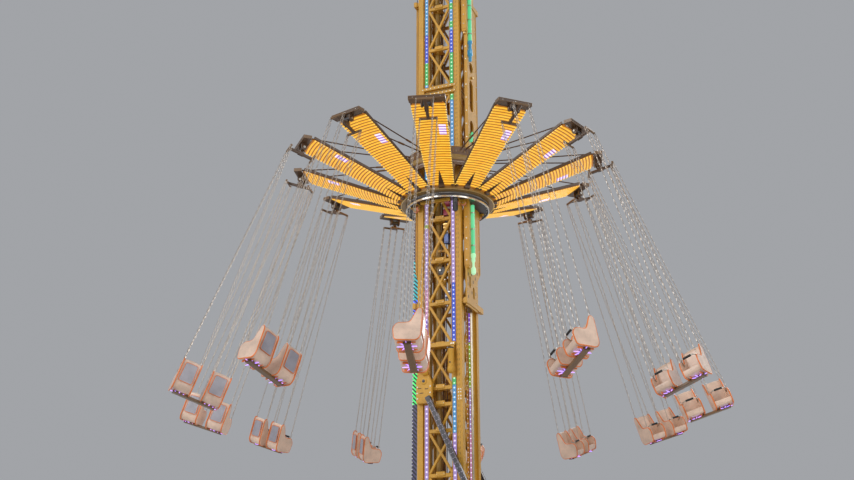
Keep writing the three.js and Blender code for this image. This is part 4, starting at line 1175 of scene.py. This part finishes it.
# The star: ring and collar
def star_ring_parts():
    """The ring as one turned section with an outer flange and a shelf, stiffeners inside, and bolts."""
    ring = hoop([(1.052, -0.070), (1.256, -0.070), (1.270, -0.056), (1.270, 0.076), (1.256, 0.090),
                 (1.148, 0.090), (1.140, 0.082), (1.140, -0.012), (1.132, -0.020), (1.052, -0.020),
                 (1.050, -0.024), (1.050, -0.066)], 120)
    ribs = [block((1.060, -0.006, -0.024), (1.144, 0.006, 0.070)).at(turned_z(math.radians(k * 15)))
            for k in range(24)]
    lip = hoop([(1.240, -0.066), (1.244, -0.074), (1.264, -0.074), (1.268, -0.066)], 120)
    heads = [turned_z(math.radians(k * 7.5 + 3.75)) @ moved(1.092, 0, -0.020) for k in range(48)]
    heads += [turned_z(math.radians(15 + k * 30 + d)) @ moved(1.205, 0, 0.090) for k in range(12)
              for d in (-9, 9)]
    parts = [(ring, RING_PAINT), (joined(ribs), DRUM_PAINT), (lip, BRASS), (bolts(heads), ZINC)]
    return carried(parts, moved(0, 0, RING_Z))


def collar_parts():
    """The drum round the tower: a brown wall with holes at its foot, drawn as black discs of painted shade, a
    pale line, an olive band, a ribbed band and a thin hoop on top. It stands on twelve posts with feet,
    and has a lug where each stay meets it."""
    wall = hoop([(1.052, 0.704), (1.056, 0.700), (1.114, 0.700), (1.118, 0.704), (1.118, 1.222),
                 (1.114, 1.226), (1.056, 1.226), (1.052, 1.222)], 96)
    line = hoop([(1.110, 0.786), (1.125, 0.787), (1.125, 0.798), (1.110, 0.799)], 96)
    band = hoop([(1.110, 0.850), (1.125, 0.852), (1.128, 0.858), (1.128, 0.992), (1.125, 0.998),
                 (1.110, 1.000)], 96)
    edge = hoop([(1.108, 1.218), (1.122, 1.216), (1.130, 1.226), (1.124, 1.239), (1.108, 1.238)], 96)
    rib = block((1.112, -0.010, 1.060), (1.129, 0.010, 1.130), 0.003)
    ribs = repeated(rib, [turned_z(math.radians(k * 4)) for k in range(90)])
    # Each hole is a thin black disc on the wall: painted shade where the opening is
    hole = rod((1.112, 0, 0.742), (1.1192, 0, 0.742), 0.014, 10)
    holes = repeated(hole, [turned_z(math.radians(k * 10)) for k in range(36)])
    posts, lugs, heads = [], [], []
    for k in range(12):
        turn = turned_z(math.radians(k * 30))
        posts.append(block((1.062, -0.029, -0.019), (1.118, 0.029, 0.705), 0.006).at(turn))
        posts.append(block((1.054, -0.062, -0.0195), (1.130, 0.062, -0.004), 0.004).at(turn))
        posts.append(block((1.058, -0.050, 0.640), (1.124, 0.050, 0.704), 0.006).at(turn))
        heads += [turn @ moved(1.092, y, -0.004) for y in (-0.046, 0.046)]
        lugs += [block((1.112, y - 0.024, 1.158), (1.130, y + 0.024, 1.214),
                       0.004).at(turned_z(math.radians(15 + k * 30))) for y in (-0.065, 0.065)]
    parts = [(wall, DRUM_PAINT), (line, CHAIN_STEEL), (band, PIPE_PAINT), (edge, BRASS), (ribs, RING_PAINT),
             (holes, RUBBER_AND_HOLE_SHADE), (joined(posts), RING_PAINT), (joined(lugs), ARM_TRIM),
             (bolts(heads, 0.011), ZINC)]
    return carried(parts, moved(0, 0, RING_Z))


piece("turning_ring", "star", star_ring_parts(), replaces=["star_ring"])
piece("turning_collar", "star", collar_parts(), replaces=["star_collar"])

# One arm, in its own place: X out, slope coordinates u along the panel, v across, w square to it
ROOT_R = 1.2655
TIP_R = 3.980
TIP_RISE = 1.040
SLOPE = math.hypot(TIP_R - ROOT_R, TIP_RISE)
LIFT = math.atan2(TIP_RISE, TIP_R - ROOT_R)
HALF_ROOT = 0.334
HALF_TIP = 0.435
CORNER_U = 0.060
CORNER_V = 0.080
WEDGE_SHARE = 0.19
WEDGE_HALF = 0.080
BAR_COUNT = 33
BAR_HALF = 0.026
BACK_IN = 0.028
PATCH_BARS = (21, 24)
PATCH_SHARE = (0.42, 0.86)
PALE_SHARE = 0.93
SLOPED = axes_place((ROOT_R, 0, 0), (math.cos(LIFT), 0, math.sin(LIFT)), (0, 1, 0),
                    (-math.sin(LIFT), 0, math.cos(LIFT)))


def panel_half(u):
    """Half the panel's width at a distance up the slope, less at the cut corners of its tip."""
    straight = HALF_ROOT + (HALF_TIP - HALF_ROOT) * u / SLOPE
    return straight - CORNER_V * np.clip((u - SLOPE + CORNER_U) / CORNER_U, 0, 1)


def wedge_half(u):
    """Half the width of the wedge between the two feet, nothing past its point."""
    return np.maximum(0.0, WEDGE_HALF * (1 - u / (SLOPE * WEDGE_SHARE)))


def bar_level(k):
    """How far up the slope a bar lies."""
    return 0.050 + (SLOPE - 0.085) * (k + 0.5) / BAR_COUNT


def lamp_bar(u, v0, v1, tinted):
    """A lens bar across the panel from v0 to v1. Its middle line is an arc about the ride's axis, so it
    falls back along u by the sagitta v squared over twice its radius, and its section is a low half round.
    The outer stretches and both ends are pale, and on tinted bars one stretch past the middle is lilac."""
    radius = ROOT_R + u * math.cos(LIFT)
    share = np.array([-1.0, -PALE_SHARE, -0.45, 0.0, *PATCH_SHARE, PALE_SHARE, 1.0])
    limit = panel_half(u)
    v = np.clip(share * limit, v0, v1)
    v = v[np.concatenate([[True], np.diff(v) > 1e-4])]
    back = v**2 / (2 * radius)
    section = np.array([(-BAR_HALF, 0.020), (-BAR_HALF * 0.90, 0.010), (-BAR_HALF * 0.45, 0.002),
                        (BAR_HALF * 0.45, 0.002), (BAR_HALF * 0.90, 0.010), (BAR_HALF, 0.020)])
    grid = len(v), len(section)
    points = np.stack([u - back[:, None] + section[None, :, 0], np.broadcast_to(v[:, None], grid),
                       np.broadcast_to(section[None, :, 1], grid)], -1)
    middle = (v[1:] + v[:-1]) / 2 / limit
    paint = np.where(np.abs(middle) > PALE_SHARE, 1, 0)
    if tinted:
        paint = np.where((middle > PATCH_SHARE[0]) & (middle < PATCH_SHARE[1]), 2, paint)
    paint = np.concatenate([np.repeat(paint, len(section)), [1, 1]])
    return net(points, around=True, caps=True, paint=paint)


def lamp_panel():
    """The lit underside of an arm: a backing narrower than its bars with a wedge cut in at its root, the bars
    standing past it like a comb, the patch, the side walls and the wedge's brown cheeks. The backing and
    the patch are no lamps: their amber and violet glow is painted light that the bars cast on them."""
    point = SLOPE * WEDGE_SHARE
    tip = SLOPE - 0.004
    outline = np.array([(0.004, WEDGE_HALF), (point, 0.0), (0.004, -WEDGE_HALF),
                        (0.004, -HALF_ROOT + BACK_IN), (tip - CORNER_U, -HALF_TIP + BACK_IN),
                        (tip, -HALF_TIP + CORNER_V + 0.010), (tip, HALF_TIP - CORNER_V - 0.010),
                        (tip - CORNER_U, HALF_TIP - BACK_IN), (0.004, HALF_ROOT - BACK_IN)])
    backing = plate(outline, 0.016, 0.044, 0.002)
    bars = []
    for k in range(BAR_COUNT):
        u = bar_level(k)
        limit = float(panel_half(u + BAR_HALF)) - 0.001
        hollow = float(wedge_half(u - BAR_HALF))
        tinted = PATCH_BARS[0] <= k <= PATCH_BARS[1]
        if hollow > 0.006:
            bars.append(lamp_bar(u, hollow + 0.008, limit, tinted))
            bars.append(lamp_bar(u, -limit, -hollow - 0.008, tinted))
        else:
            bars.append(lamp_bar(u, -limit, limit, tinted))
    u0, u1 = (bar_level(k) for k in PATCH_BARS)
    v0, v1 = (float(panel_half((u0 + u1) / 2)) * share for share in PATCH_SHARE)
    # The patch floor behind the lilac bars, carrying painted violet glow
    patch = plate([(u0 - 0.065, v0), (u1 + 0.020, v0), (u1 - 0.010, v1), (u0 - 0.095, v1)], 0.0135, 0.018,
                  0.001)
    walls = [beam((0.02, s * (HALF_ROOT - BACK_IN - 0.006), 0.032),
                  (SLOPE - CORNER_U, s * (HALF_TIP - BACK_IN - 0.006), 0.032), 0.012, 0.026, 0.003)
             for s in (-1, 1)]
    walls.append(block((SLOPE - 0.012, -HALF_TIP + CORNER_V, 0.004), (SLOPE, HALF_TIP - CORNER_V, 0.045),
                       0.003))
    cheeks = [beam((0.0, s * WEDGE_HALF, 0.026), (point, s * 0.004, 0.026), 0.012, 0.042, 0.002)
              for s in (-1, 1)]
    return [(backing, AMBER_GLOW_ON_BACKING), (joined(bars), [AMBER, AMBER_PALE, PATCH]), (patch, VIOLET_GLOW_ON_PATCH_FLOOR),
            (joined(walls), ARM_TRIM), (joined(cheeks), ARM_TRIM)]


def arm_frame():
    """The steel of an arm: side beams, spine, ribs across, and a cable tray along the spine."""
    sides, ribs = [], []
    for side in (-1, 1):
        near, far = side * (HALF_ROOT - 0.04), side * (HALF_TIP - 0.04)
        sides.append(beam((0.04, near, 0.082), (SLOPE - 0.03, far, 0.082), 0.080, 0.076, 0.008))
        sides.append(beam((0.04, near, 0.122), (SLOPE - 0.03, far, 0.122), 0.040, 0.010, 0.003))
    spine = beam((0.06, 0, 0.090), (SLOPE + 0.06, 0, 0.090), 0.110, 0.110, 0.010)
    tray = beam((0.12, 0, 0.150), (SLOPE - 0.10, 0, 0.150), 0.060, 0.018, 0.004)
    for u in np.linspace(0.75, SLOPE - 0.24, 6):
        half = panel_half(u) - 0.05
        ribs.append(block((u - 0.022, -half, 0.044), (u + 0.022, half, 0.108), 0.005))
        ribs.append(block((u - 0.034, -0.075, 0.108), (u + 0.034, 0.075, 0.156), 0.005))
    return [(joined(sides), ARM_PAINT), (spine, ARM_PAINT), (joined(ribs), ARM_PAINT), (tray, DARK_METAL)]


CROSS_LO = np.array((3.990, -0.450, 1.050))
CROSS_HI = np.array((4.210, 0.450, 1.140))
STAY_IN = np.array((1.1295, 0.065, 1.1887))
STAY_OUT = np.array((4.108, 0.300, 1.125))


def arm_ends():
    """Root block, crosshead with trimmed edges and capped ends, lugs with their pin, and the two stays."""
    root = [block((ROOT_R, -0.078, -0.038), (1.352, 0.078, 0.148), 0.008)]
    root += [block((ROOT_R, s * (HALF_ROOT - 0.085), 0.0), (1.33, s * (HALF_ROOT - 0.005), 0.125), 0.008)
             for s in (-1, 1)]
    cross = [block(CROSS_LO + (0.004, 0.010, 0.004), CROSS_HI - (0.004, 0.010, 0.004), 0.014)]
    trims = []
    for x in (CROSS_LO[0], CROSS_HI[0] - 0.018):
        for z in (CROSS_LO[2], CROSS_HI[2] - 0.014):
            trims.append(block((x, -0.444, z), (x + 0.018, 0.444, z + 0.014), 0.004))
    trims += [block((CROSS_LO[0], s * 0.450 - s * 0.014, CROSS_LO[2]),
                    (CROSS_HI[0], s * 0.450, CROSS_HI[2]), 0.006) for s in (-1, 1)]
    lugs, caps = [], []
    lug = rounded([(-0.080, 0.116), (0.080, 0.116), (0.080, -0.02), (0.045, -0.080), (-0.045, -0.080),
                   (-0.080, -0.02)], 0.035)
    for s in (-1, 1):
        across = axes_place((PIVOT_R, s * 0.120, PIVOT_Z), (1, 0, 0), (0, 0, 1), (0, -1, 0))
        lugs.append(plate(lug, -0.019, 0.019, 0.003).at(across))
        caps.append(rod((PIVOT_R, s * 0.138, PIVOT_Z), (PIVOT_R, s * 0.158, PIVOT_Z), 0.036, 6))
    pin = rod((PIVOT_R, -0.150, PIVOT_Z), (PIVOT_R, 0.150, PIVOT_Z), 0.024, 16)
    stays, fittings = [], []
    for s in (-1, 1):
        inner, outer = STAY_IN * (1, s, 1), STAY_OUT * (1, s, 1)
        run = (outer - inner) / np.linalg.norm(outer - inner)
        stays.append(rod(inner, outer, 0.0165, 12))
        for base, way in ((inner, 1), (outer, -1)):
            fittings.append(rod(base + run * way * 0.02, base + run * way * 0.16, 0.024, 10))
        middle = inner + run * 0.62
        fittings.append(rod(middle, middle + run * 0.22, 0.026, 6))
        fittings.append(block(outer - (0.035, 0.030, 0.012), outer + (0.035, 0.030, 0.014), 0.006))
    heads = [facing((0, 0, 1), (x, y, CROSS_HI[2] - 0.012)) for x in (4.030, 4.170)
             for y in (-0.38, -0.16, 0.16, 0.38)]
    heads += [facing((1, 0, 0), (CROSS_HI[0] - 0.012, y, 1.095)) for y in (-0.34, 0.0, 0.34)]
    return [(joined(root), ARM_PAINT), (joined(cross), ARM_PAINT), (joined(trims), ARM_TRIM),
            (joined(lugs), ARM_PAINT), (joined(caps), ZINC), (pin, BEARING_STEEL),
            (joined(stays), ARM_PAINT), (joined(fittings), ARM_TRIM), (bolts(heads, 0.012, 0.009), ZINC)]


ARM = carried(lamp_panel() + arm_frame(), SLOPED) + arm_ends()
for name in SWINGS:
    number = name[-2:]
    piece("lamp_arm_" + number, "star", carried(ARM, spoke(name)), replaces=["arm_" + number])

# One swing, in its own place: the origin on its pin, Z up the chains, -Y the way the seats face
SEAT_X = 0.370
SEAT_Z = -6.865
SHELL_HALF = 0.235
SHELL_WALL = 0.030
SHELL_X = (SHELL_HALF, SHELL_HALF - SHELL_WALL)
SHELL_BELLY = 0.018
BACK_LEAN = math.atan2(0.017, 0.58)
RUNG_X = 0.330
RUNG_Y = 0.210
CHAIN_TOP_Z = -0.160
CHAIN_PITCH = 0.090
WIRE = 0.0058
CHAIN_FEET = ((-0.170, -6.825, -1), (0.215, -6.485, 1))


def hanger_parts():
    """Yoke on the pin, stem, spreader bar and the two rungs that the chains hang from."""
    yoke = rod((0, -0.097, 0), (0, 0.097, 0), 0.058, 24, 0.006)
    stem = block((-0.042, -0.042, -0.165), (0.042, 0.042, -0.02), 0.008)
    spreader = block((-RUNG_X - 0.012, -0.038, -0.193), (RUNG_X + 0.012, 0.038, -0.127), 0.010)
    plates = [block((-0.075, s * 0.040, -0.200), (0.075, s * 0.048, -0.075), 0.003) for s in (-1, 1)]
    rungs, eyes = [], []
    for side in (-1, 1):
        x = side * RUNG_X
        rungs.append(block((x - 0.028, -0.228, -0.190), (x + 0.028, 0.228, -0.132), 0.010))
        for y in (-RUNG_Y, RUNG_Y):
            eyes.append(rod((x - 0.034, y, CHAIN_TOP_Z), (x + 0.034, y, CHAIN_TOP_Z), 0.012, 8))
    heads = [facing((0, s, 0), (x, s * 0.048, -0.100)) for s in (-1, 1) for x in (-0.050, 0.050)]
    return [(yoke, DARK_METAL), (joined([stem, spreader, *plates]), ARM_PAINT), (joined(rungs), ARM_TRIM),
            (joined(eyes), ZINC), (bolts(heads, 0.010, 0.008), ZINC)]


def chain_link():
    """A link round Z: a three-sided wire carried round a six-cornered loop, longer than its pitch by the
    wire."""
    reach = CHAIN_PITCH / 2 + WIRE
    loop = np.array([(0, reach), (0.013, reach * 0.62), (0.013, -reach * 0.62), (0, -reach),
                     (-0.013, -reach * 0.62), (-0.013, reach * 0.62)])
    path = np.column_stack([loop[:, 0], np.zeros(6), loop[:, 1]])
    return along(path, circle(WIRE, 3), closed=True, up=(0, 1, 0))


def chains():
    """Eight chains from the rungs to the shells, their links turned a quarter by turns."""
    link = chain_link()
    places = []
    for side in (-1, 1):
        for edge in (-1, 1):
            for foot_y, foot_z, way in CHAIN_FEET:
                top = np.array((side * RUNG_X + edge * 0.020, way * RUNG_Y, CHAIN_TOP_Z - 0.01))
                foot = np.array((side * SEAT_X + edge * (SHELL_HALF - 0.015), foot_y, foot_z))
                place, length = towards(top, foot)
                count = int(length // CHAIN_PITCH)
                step = length / count
                for k in range(count):
                    places.append(place @ moved(0, 0, step * (k + 0.5)) @ turned_z(k % 2 * math.pi / 2))
    return [(repeated(link, places), CHAIN_STEEL)]


SIDE_OUTLINE = ((-0.25, -0.33), (0.20, -0.36), (0.27, -0.26), (0.285, 0.34), (0.25, 0.40), (0.19, 0.40),
                (0.07, 0.10), (0.02, 0.06), (-0.215, 0.06), (-0.29, -0.06))
TUB_OUTLINE = ((-0.275, -0.185), (-0.245, -0.300), (0.185, -0.335), (0.255, -0.250), (0.272, 0.330),
               (0.262, 0.385), (0.236, 0.360), (0.160, -0.190), (0.115, -0.222), (-0.240, -0.160))


def shell_tub():
    """The moulded tub between the side walls: one outline of seat and back carried across, crowned so that
    its underside and back belly out by 18 mm in the middle."""
    outline = rounded(TUB_OUTLINE, 0.045, 3)
    out = outline - (0.02, -0.02)
    out /= np.linalg.norm(out, axis=1, keepdims=True)
    belly = np.where((outline[:, 1] < -0.24) | (outline[:, 0] > 0.245), 1.0, 0.0)
    rows = []
    for s in np.linspace(-1, 1, 9):
        here = outline + SHELL_BELLY * (1 - s * s) * belly[:, None] * out
        rows.append(np.column_stack([np.full(len(here), s * (SHELL_HALF - SHELL_WALL + 0.002)), here]))
    return net(np.stack(rows), around=True, caps=True)


def star_light():
    """Eight thin lit rays round a small hub, under the seat."""
    rays = []
    for k in range(8):
        reach = 0.205 if k % 2 == 0 else 0.165
        outline = [(0.030, -0.014), (reach * 0.6, -0.012), (reach, 0.0), (reach * 0.6, 0.012),
                   (0.030, 0.014)]
        rays.append(plate(outline, -0.012, 0.004, 0.002).at(turned_z(k * math.pi / 4)))
    rays.append(lathe([(0.020, -0.014), (0.026, -0.008), (0.026, 0.004)], 12))
    return joined(rays)


def seat_shell():
    """One bucket: two side walls with an orange edge, the tub, a grey back panel, ribs and a lap bar."""
    side = rounded(SIDE_OUTLINE, 0.06, 4)
    walls, edges, feet = [], [], []
    for s in (-1, 1):
        x0, x1 = sorted(s * x for x in SHELL_X)
        walls.append(plate(side, x0, x1, 0.007).at(SIDEWAYS))
        middle = (x0 + x1) / 2
        path = np.column_stack([np.full(len(side), middle), inset(side, 0.002)])
        edges.append(along(path, circle(0.0165, 6, math.pi / 6), closed=True, up=(1, 0, 0)))
        for foot_y, foot_z, _ in CHAIN_FEET:
            z = foot_z - SEAT_Z
            feet.append(block((x0 + 0.006, foot_y - 0.018, z - 0.05),
                              (x1 - 0.006, foot_y + 0.018, z + 0.022), 0.004))
            feet.append(rod((x0 + 0.002, foot_y, z + 0.004), (x1 - 0.002, foot_y, z + 0.004), 0.012, 8))
    panel_outline = rounded([(-0.165, -0.14), (0.165, -0.14), (0.150, 0.315), (-0.150, 0.315)], 0.05, 4)
    along_y, along_z = math.sin(BACK_LEAN), math.cos(BACK_LEAN)
    back = axes_place((0, 0.2865, 0), (-1, 0, 0), (0, along_y, along_z), (0, along_z, -along_y))
    panel = plate(panel_outline, -0.006, 0.007, 0.004).at(back)
    rim_path = np.column_stack([panel_outline, np.full(len(panel_outline), 0.004)])
    rim = along(rim_path, circle(0.009, 6), closed=True, up=(0, 0, 1)).at(back)
    ribs = [block((x - 0.007, -0.20, -0.366), (x + 0.007, 0.17, -0.318), 0.003) for x in (-0.13, 0.13)]
    bar_path = smooth_path([(-0.195, -0.03, 0.00), (-0.185, -0.12, 0.055), (-0.165, -0.20, 0.085),
                            (-0.10, -0.225, 0.095), (0.10, -0.225, 0.095), (0.165, -0.20, 0.085),
                            (0.185, -0.12, 0.055), (0.195, -0.03, 0.00)], 3)
    lap = along(bar_path, circle(0.013, 8), up=(0.0, 0.3, 1.0))
    sleeve = lathe([(0.016, -0.10), (0.026, -0.092), (0.026, 0.092), (0.016, 0.10)], 12)
    sleeve = sleeve.at(facing((1, 0, 0), (0, -0.225, 0.095)))
    return [(joined(walls), SEAT_CREAM), (joined(edges), SEAT_ORANGE), (shell_tub(), SEAT_CREAM),
            (panel, SEAT_GREY), (rim, SEAT_ORANGE), (joined(ribs), SEAT_ORANGE), (joined(feet), ZINC),
            (lap, ZINC), (sleeve, RUBBER_AND_HOLE_SHADE), (star_light().at(moved(0, -0.02, -0.357)), SEAT_GLOW)]


def double_seat():
    """Two buckets side by side on a bar."""
    bar = block((-0.516, -0.076, -0.398), (0.516, 0.076, -0.337), 0.012)
    ends = [block((s * 0.500, -0.080, -0.400), (s * 0.520, 0.080, -0.335), 0.006) for s in (-1, 1)]
    parts = [(bar.at(moved(0, 0, SEAT_Z)), ARM_TRIM), (joined(ends).at(moved(0, 0, SEAT_Z)), ARM_PAINT)]
    for side in (-1, 1):
        parts += carried(seat_shell(), moved(side * SEAT_X, 0, SEAT_Z))
    return parts


HANGER = hanger_parts() + chains()
SEATS = double_seat()
for name in SWINGS:
    number = name[-2:]
    body = joints[name]["child"]
    piece("chains_" + number, body, carried(HANGER, hung(name)),
          replaces=["hanger_" + number])
    piece("bucket_seats_" + number, body, carried(SEATS, hung(name)),
          replaces=["double_seat_" + number])


# The line of small lamps beside the tower
LINE_FOOT = np.array((-0.915, -0.1155, 4.90))
LINE_KNEE = np.array((-0.868, -0.1155, 12.40))
LINE_LAMPS = 82


def line_lamps():
    """Small lenses along the left edge of the strip, and a clamp with bolts at its foot."""
    spots = np.linspace(LINE_FOOT + (-0.052, 0, 0.08), LINE_KNEE + (-0.052, 0, -0.05), LINE_LAMPS)
    lens = dome(0.014, 0.010).at(FRONTWARD)
    clamp = block((-0.990, -0.125, 4.905), (-0.840, -0.075, 4.965), 0.004)
    heads = [moved(x, -0.125, 4.935) for x in (-0.960, -0.870)]
    white = row_colours("line_lamps", 0.9, 0.75, LINE_RUN)
    return [(repeated(lens, [moved(*spot) for spot in spots]), white), (clamp, TOWER_PAINT),
            (bolts(heads, 0.010, 0.008, FRONTWARD), ZINC)]


piece("light_line_lamps", "root", line_lamps())


# The base: bolts on the foot plate, jack screws and gussets
JACKS = [(x, y) for x in (-3.02, 3.86) for y in (-3.12, 3.12)]
SCREW_FOOT = 0.325
SCREW_PITCH = 0.021
SCREW_TURNS = 9


def base_details():
    """Anchor bolts round the tower's foot, gussets to the posts, and the turns of a screw over each jack's
    bolted pad."""
    heads, gussets, screws = [], [], []
    for number, face in enumerate(FACES):
        level = 0.340 if number % 2 == 0 else 0.300
        heads += [face @ moved(x, -0.78, level) for x in (-0.46, -0.15, 0.15, 0.46)]
        for x in (-0.565, 0.565):
            fin = plate([(0, 0), (0.20, 0), (0.03, 0.42), (0, 0.42)], -0.008, 0.008, 0.002)
            stand = axes_place((x, -HALF, 0.30), (0, -1, 0), (0, 0, 1), (-1, 0, 0))
            gussets.append(fin.at(face @ stand))
    turn = lathe([(0.048, 0), (0.060, 0.010), (0.060, 0.014), (0.048, 0.024)], 16)
    for x, y in JACKS:
        levels = [SCREW_FOOT + k * SCREW_PITCH for k in range(SCREW_TURNS)]
        screws.append(repeated(turn, [moved(x, y, z) for z in levels]))
        heads += [moved(x + dx, y + dy, 0.05) for dx in (-0.24, 0.24) for dy in (-0.24, 0.24)]
    return [(bolts(heads, 0.020, 0.016), ZINC), (joined(gussets), BASE_PAINT),
            (joined(screws), BEARING_STEEL)]


piece("base_bolts_and_screws", "root", base_details())


# Floor, light and camera
def floor_material():
    """Pale plain floor with a faint cloud in it."""
    finish = Finish("pale_floor", Roughness=0.9)
    finish.into("Base Color", finish.ramp(finish.noise(0.2, 2),
                                          [(0.3, (0.62, 0.62, 0.62)), (0.7, (0.65, 0.65, 0.65))]))
    return finish.material


def floor():
    """A wide flat disc under the ride."""
    disc = lathe([(70.0, -0.02), (70.0, -0.001)], 96)
    mesh = bpy.data.meshes.new("floor")
    faces = np.split(disc.corners, np.cumsum(disc.counts)[:-1])
    mesh.from_pydata(disc.points.tolist(), [], [f.tolist() for f in faces])
    mesh.materials.append(floor_material())
    ground = bpy.data.objects.new("floor", mesh)
    bpy.context.scene.collection.objects.link(ground)


LIGHT_AIM = (0, 0, 11)
LIGHT_SIZE = 32


def soft_light(name, place, power):
    """A large square lamp aimed at the tower's middle."""
    lamp = bpy.data.lights.new(name, "AREA")
    lamp.size = LIGHT_SIZE
    lamp.energy = power
    holder = bpy.data.objects.new(name, lamp)
    bpy.context.scene.collection.objects.link(holder)
    axes = towards(place, LIGHT_AIM)[0]
    turn = axes @ np.diag([1.0, -1.0, -1.0, 1.0])
    holder.matrix_world = Matrix(turn.tolist())


CAMERA_AWAY = 27.76
CAMERA_SIDE = math.radians(21.7)
CAMERA_UP = 1.2
CAMERA_YAW = math.radians(22.85)
CAMERA_PITCH = math.radians(20.5)
CAMERA_LENS = 46.6


def camera():
    """The photo's camera: at eye height, right of the front, looking up at the ring."""
    data = bpy.data.cameras.new("camera")
    data.lens = CAMERA_LENS
    data.sensor_width = 36.0
    data.clip_end = 400.0
    eye = bpy.data.objects.new("camera", data)
    eye.location = (CAMERA_AWAY * math.sin(CAMERA_SIDE), -CAMERA_AWAY * math.cos(CAMERA_SIDE), CAMERA_UP)
    eye.rotation_euler = (math.pi / 2 + CAMERA_PITCH, 0.0, CAMERA_YAW)
    bpy.context.scene.collection.objects.link(eye)
    bpy.context.scene.camera = eye


floor()
world = bpy.data.worlds.new("studio")
world.use_nodes = True
backdrop = world.node_tree.nodes["Background"].inputs
backdrop["Color"].default_value = (0.36, 0.37, 0.39, 1)
backdrop["Strength"].default_value = 1.0
bpy.context.scene.world = world
soft_light("key", (-22, -42, 30), 12000)
soft_light("fill", (38, -22, 20), 5500)
soft_light("back", (6, 42, 32), 7500)
camera()
bpy.context.scene.view_settings.view_transform = "Standard"
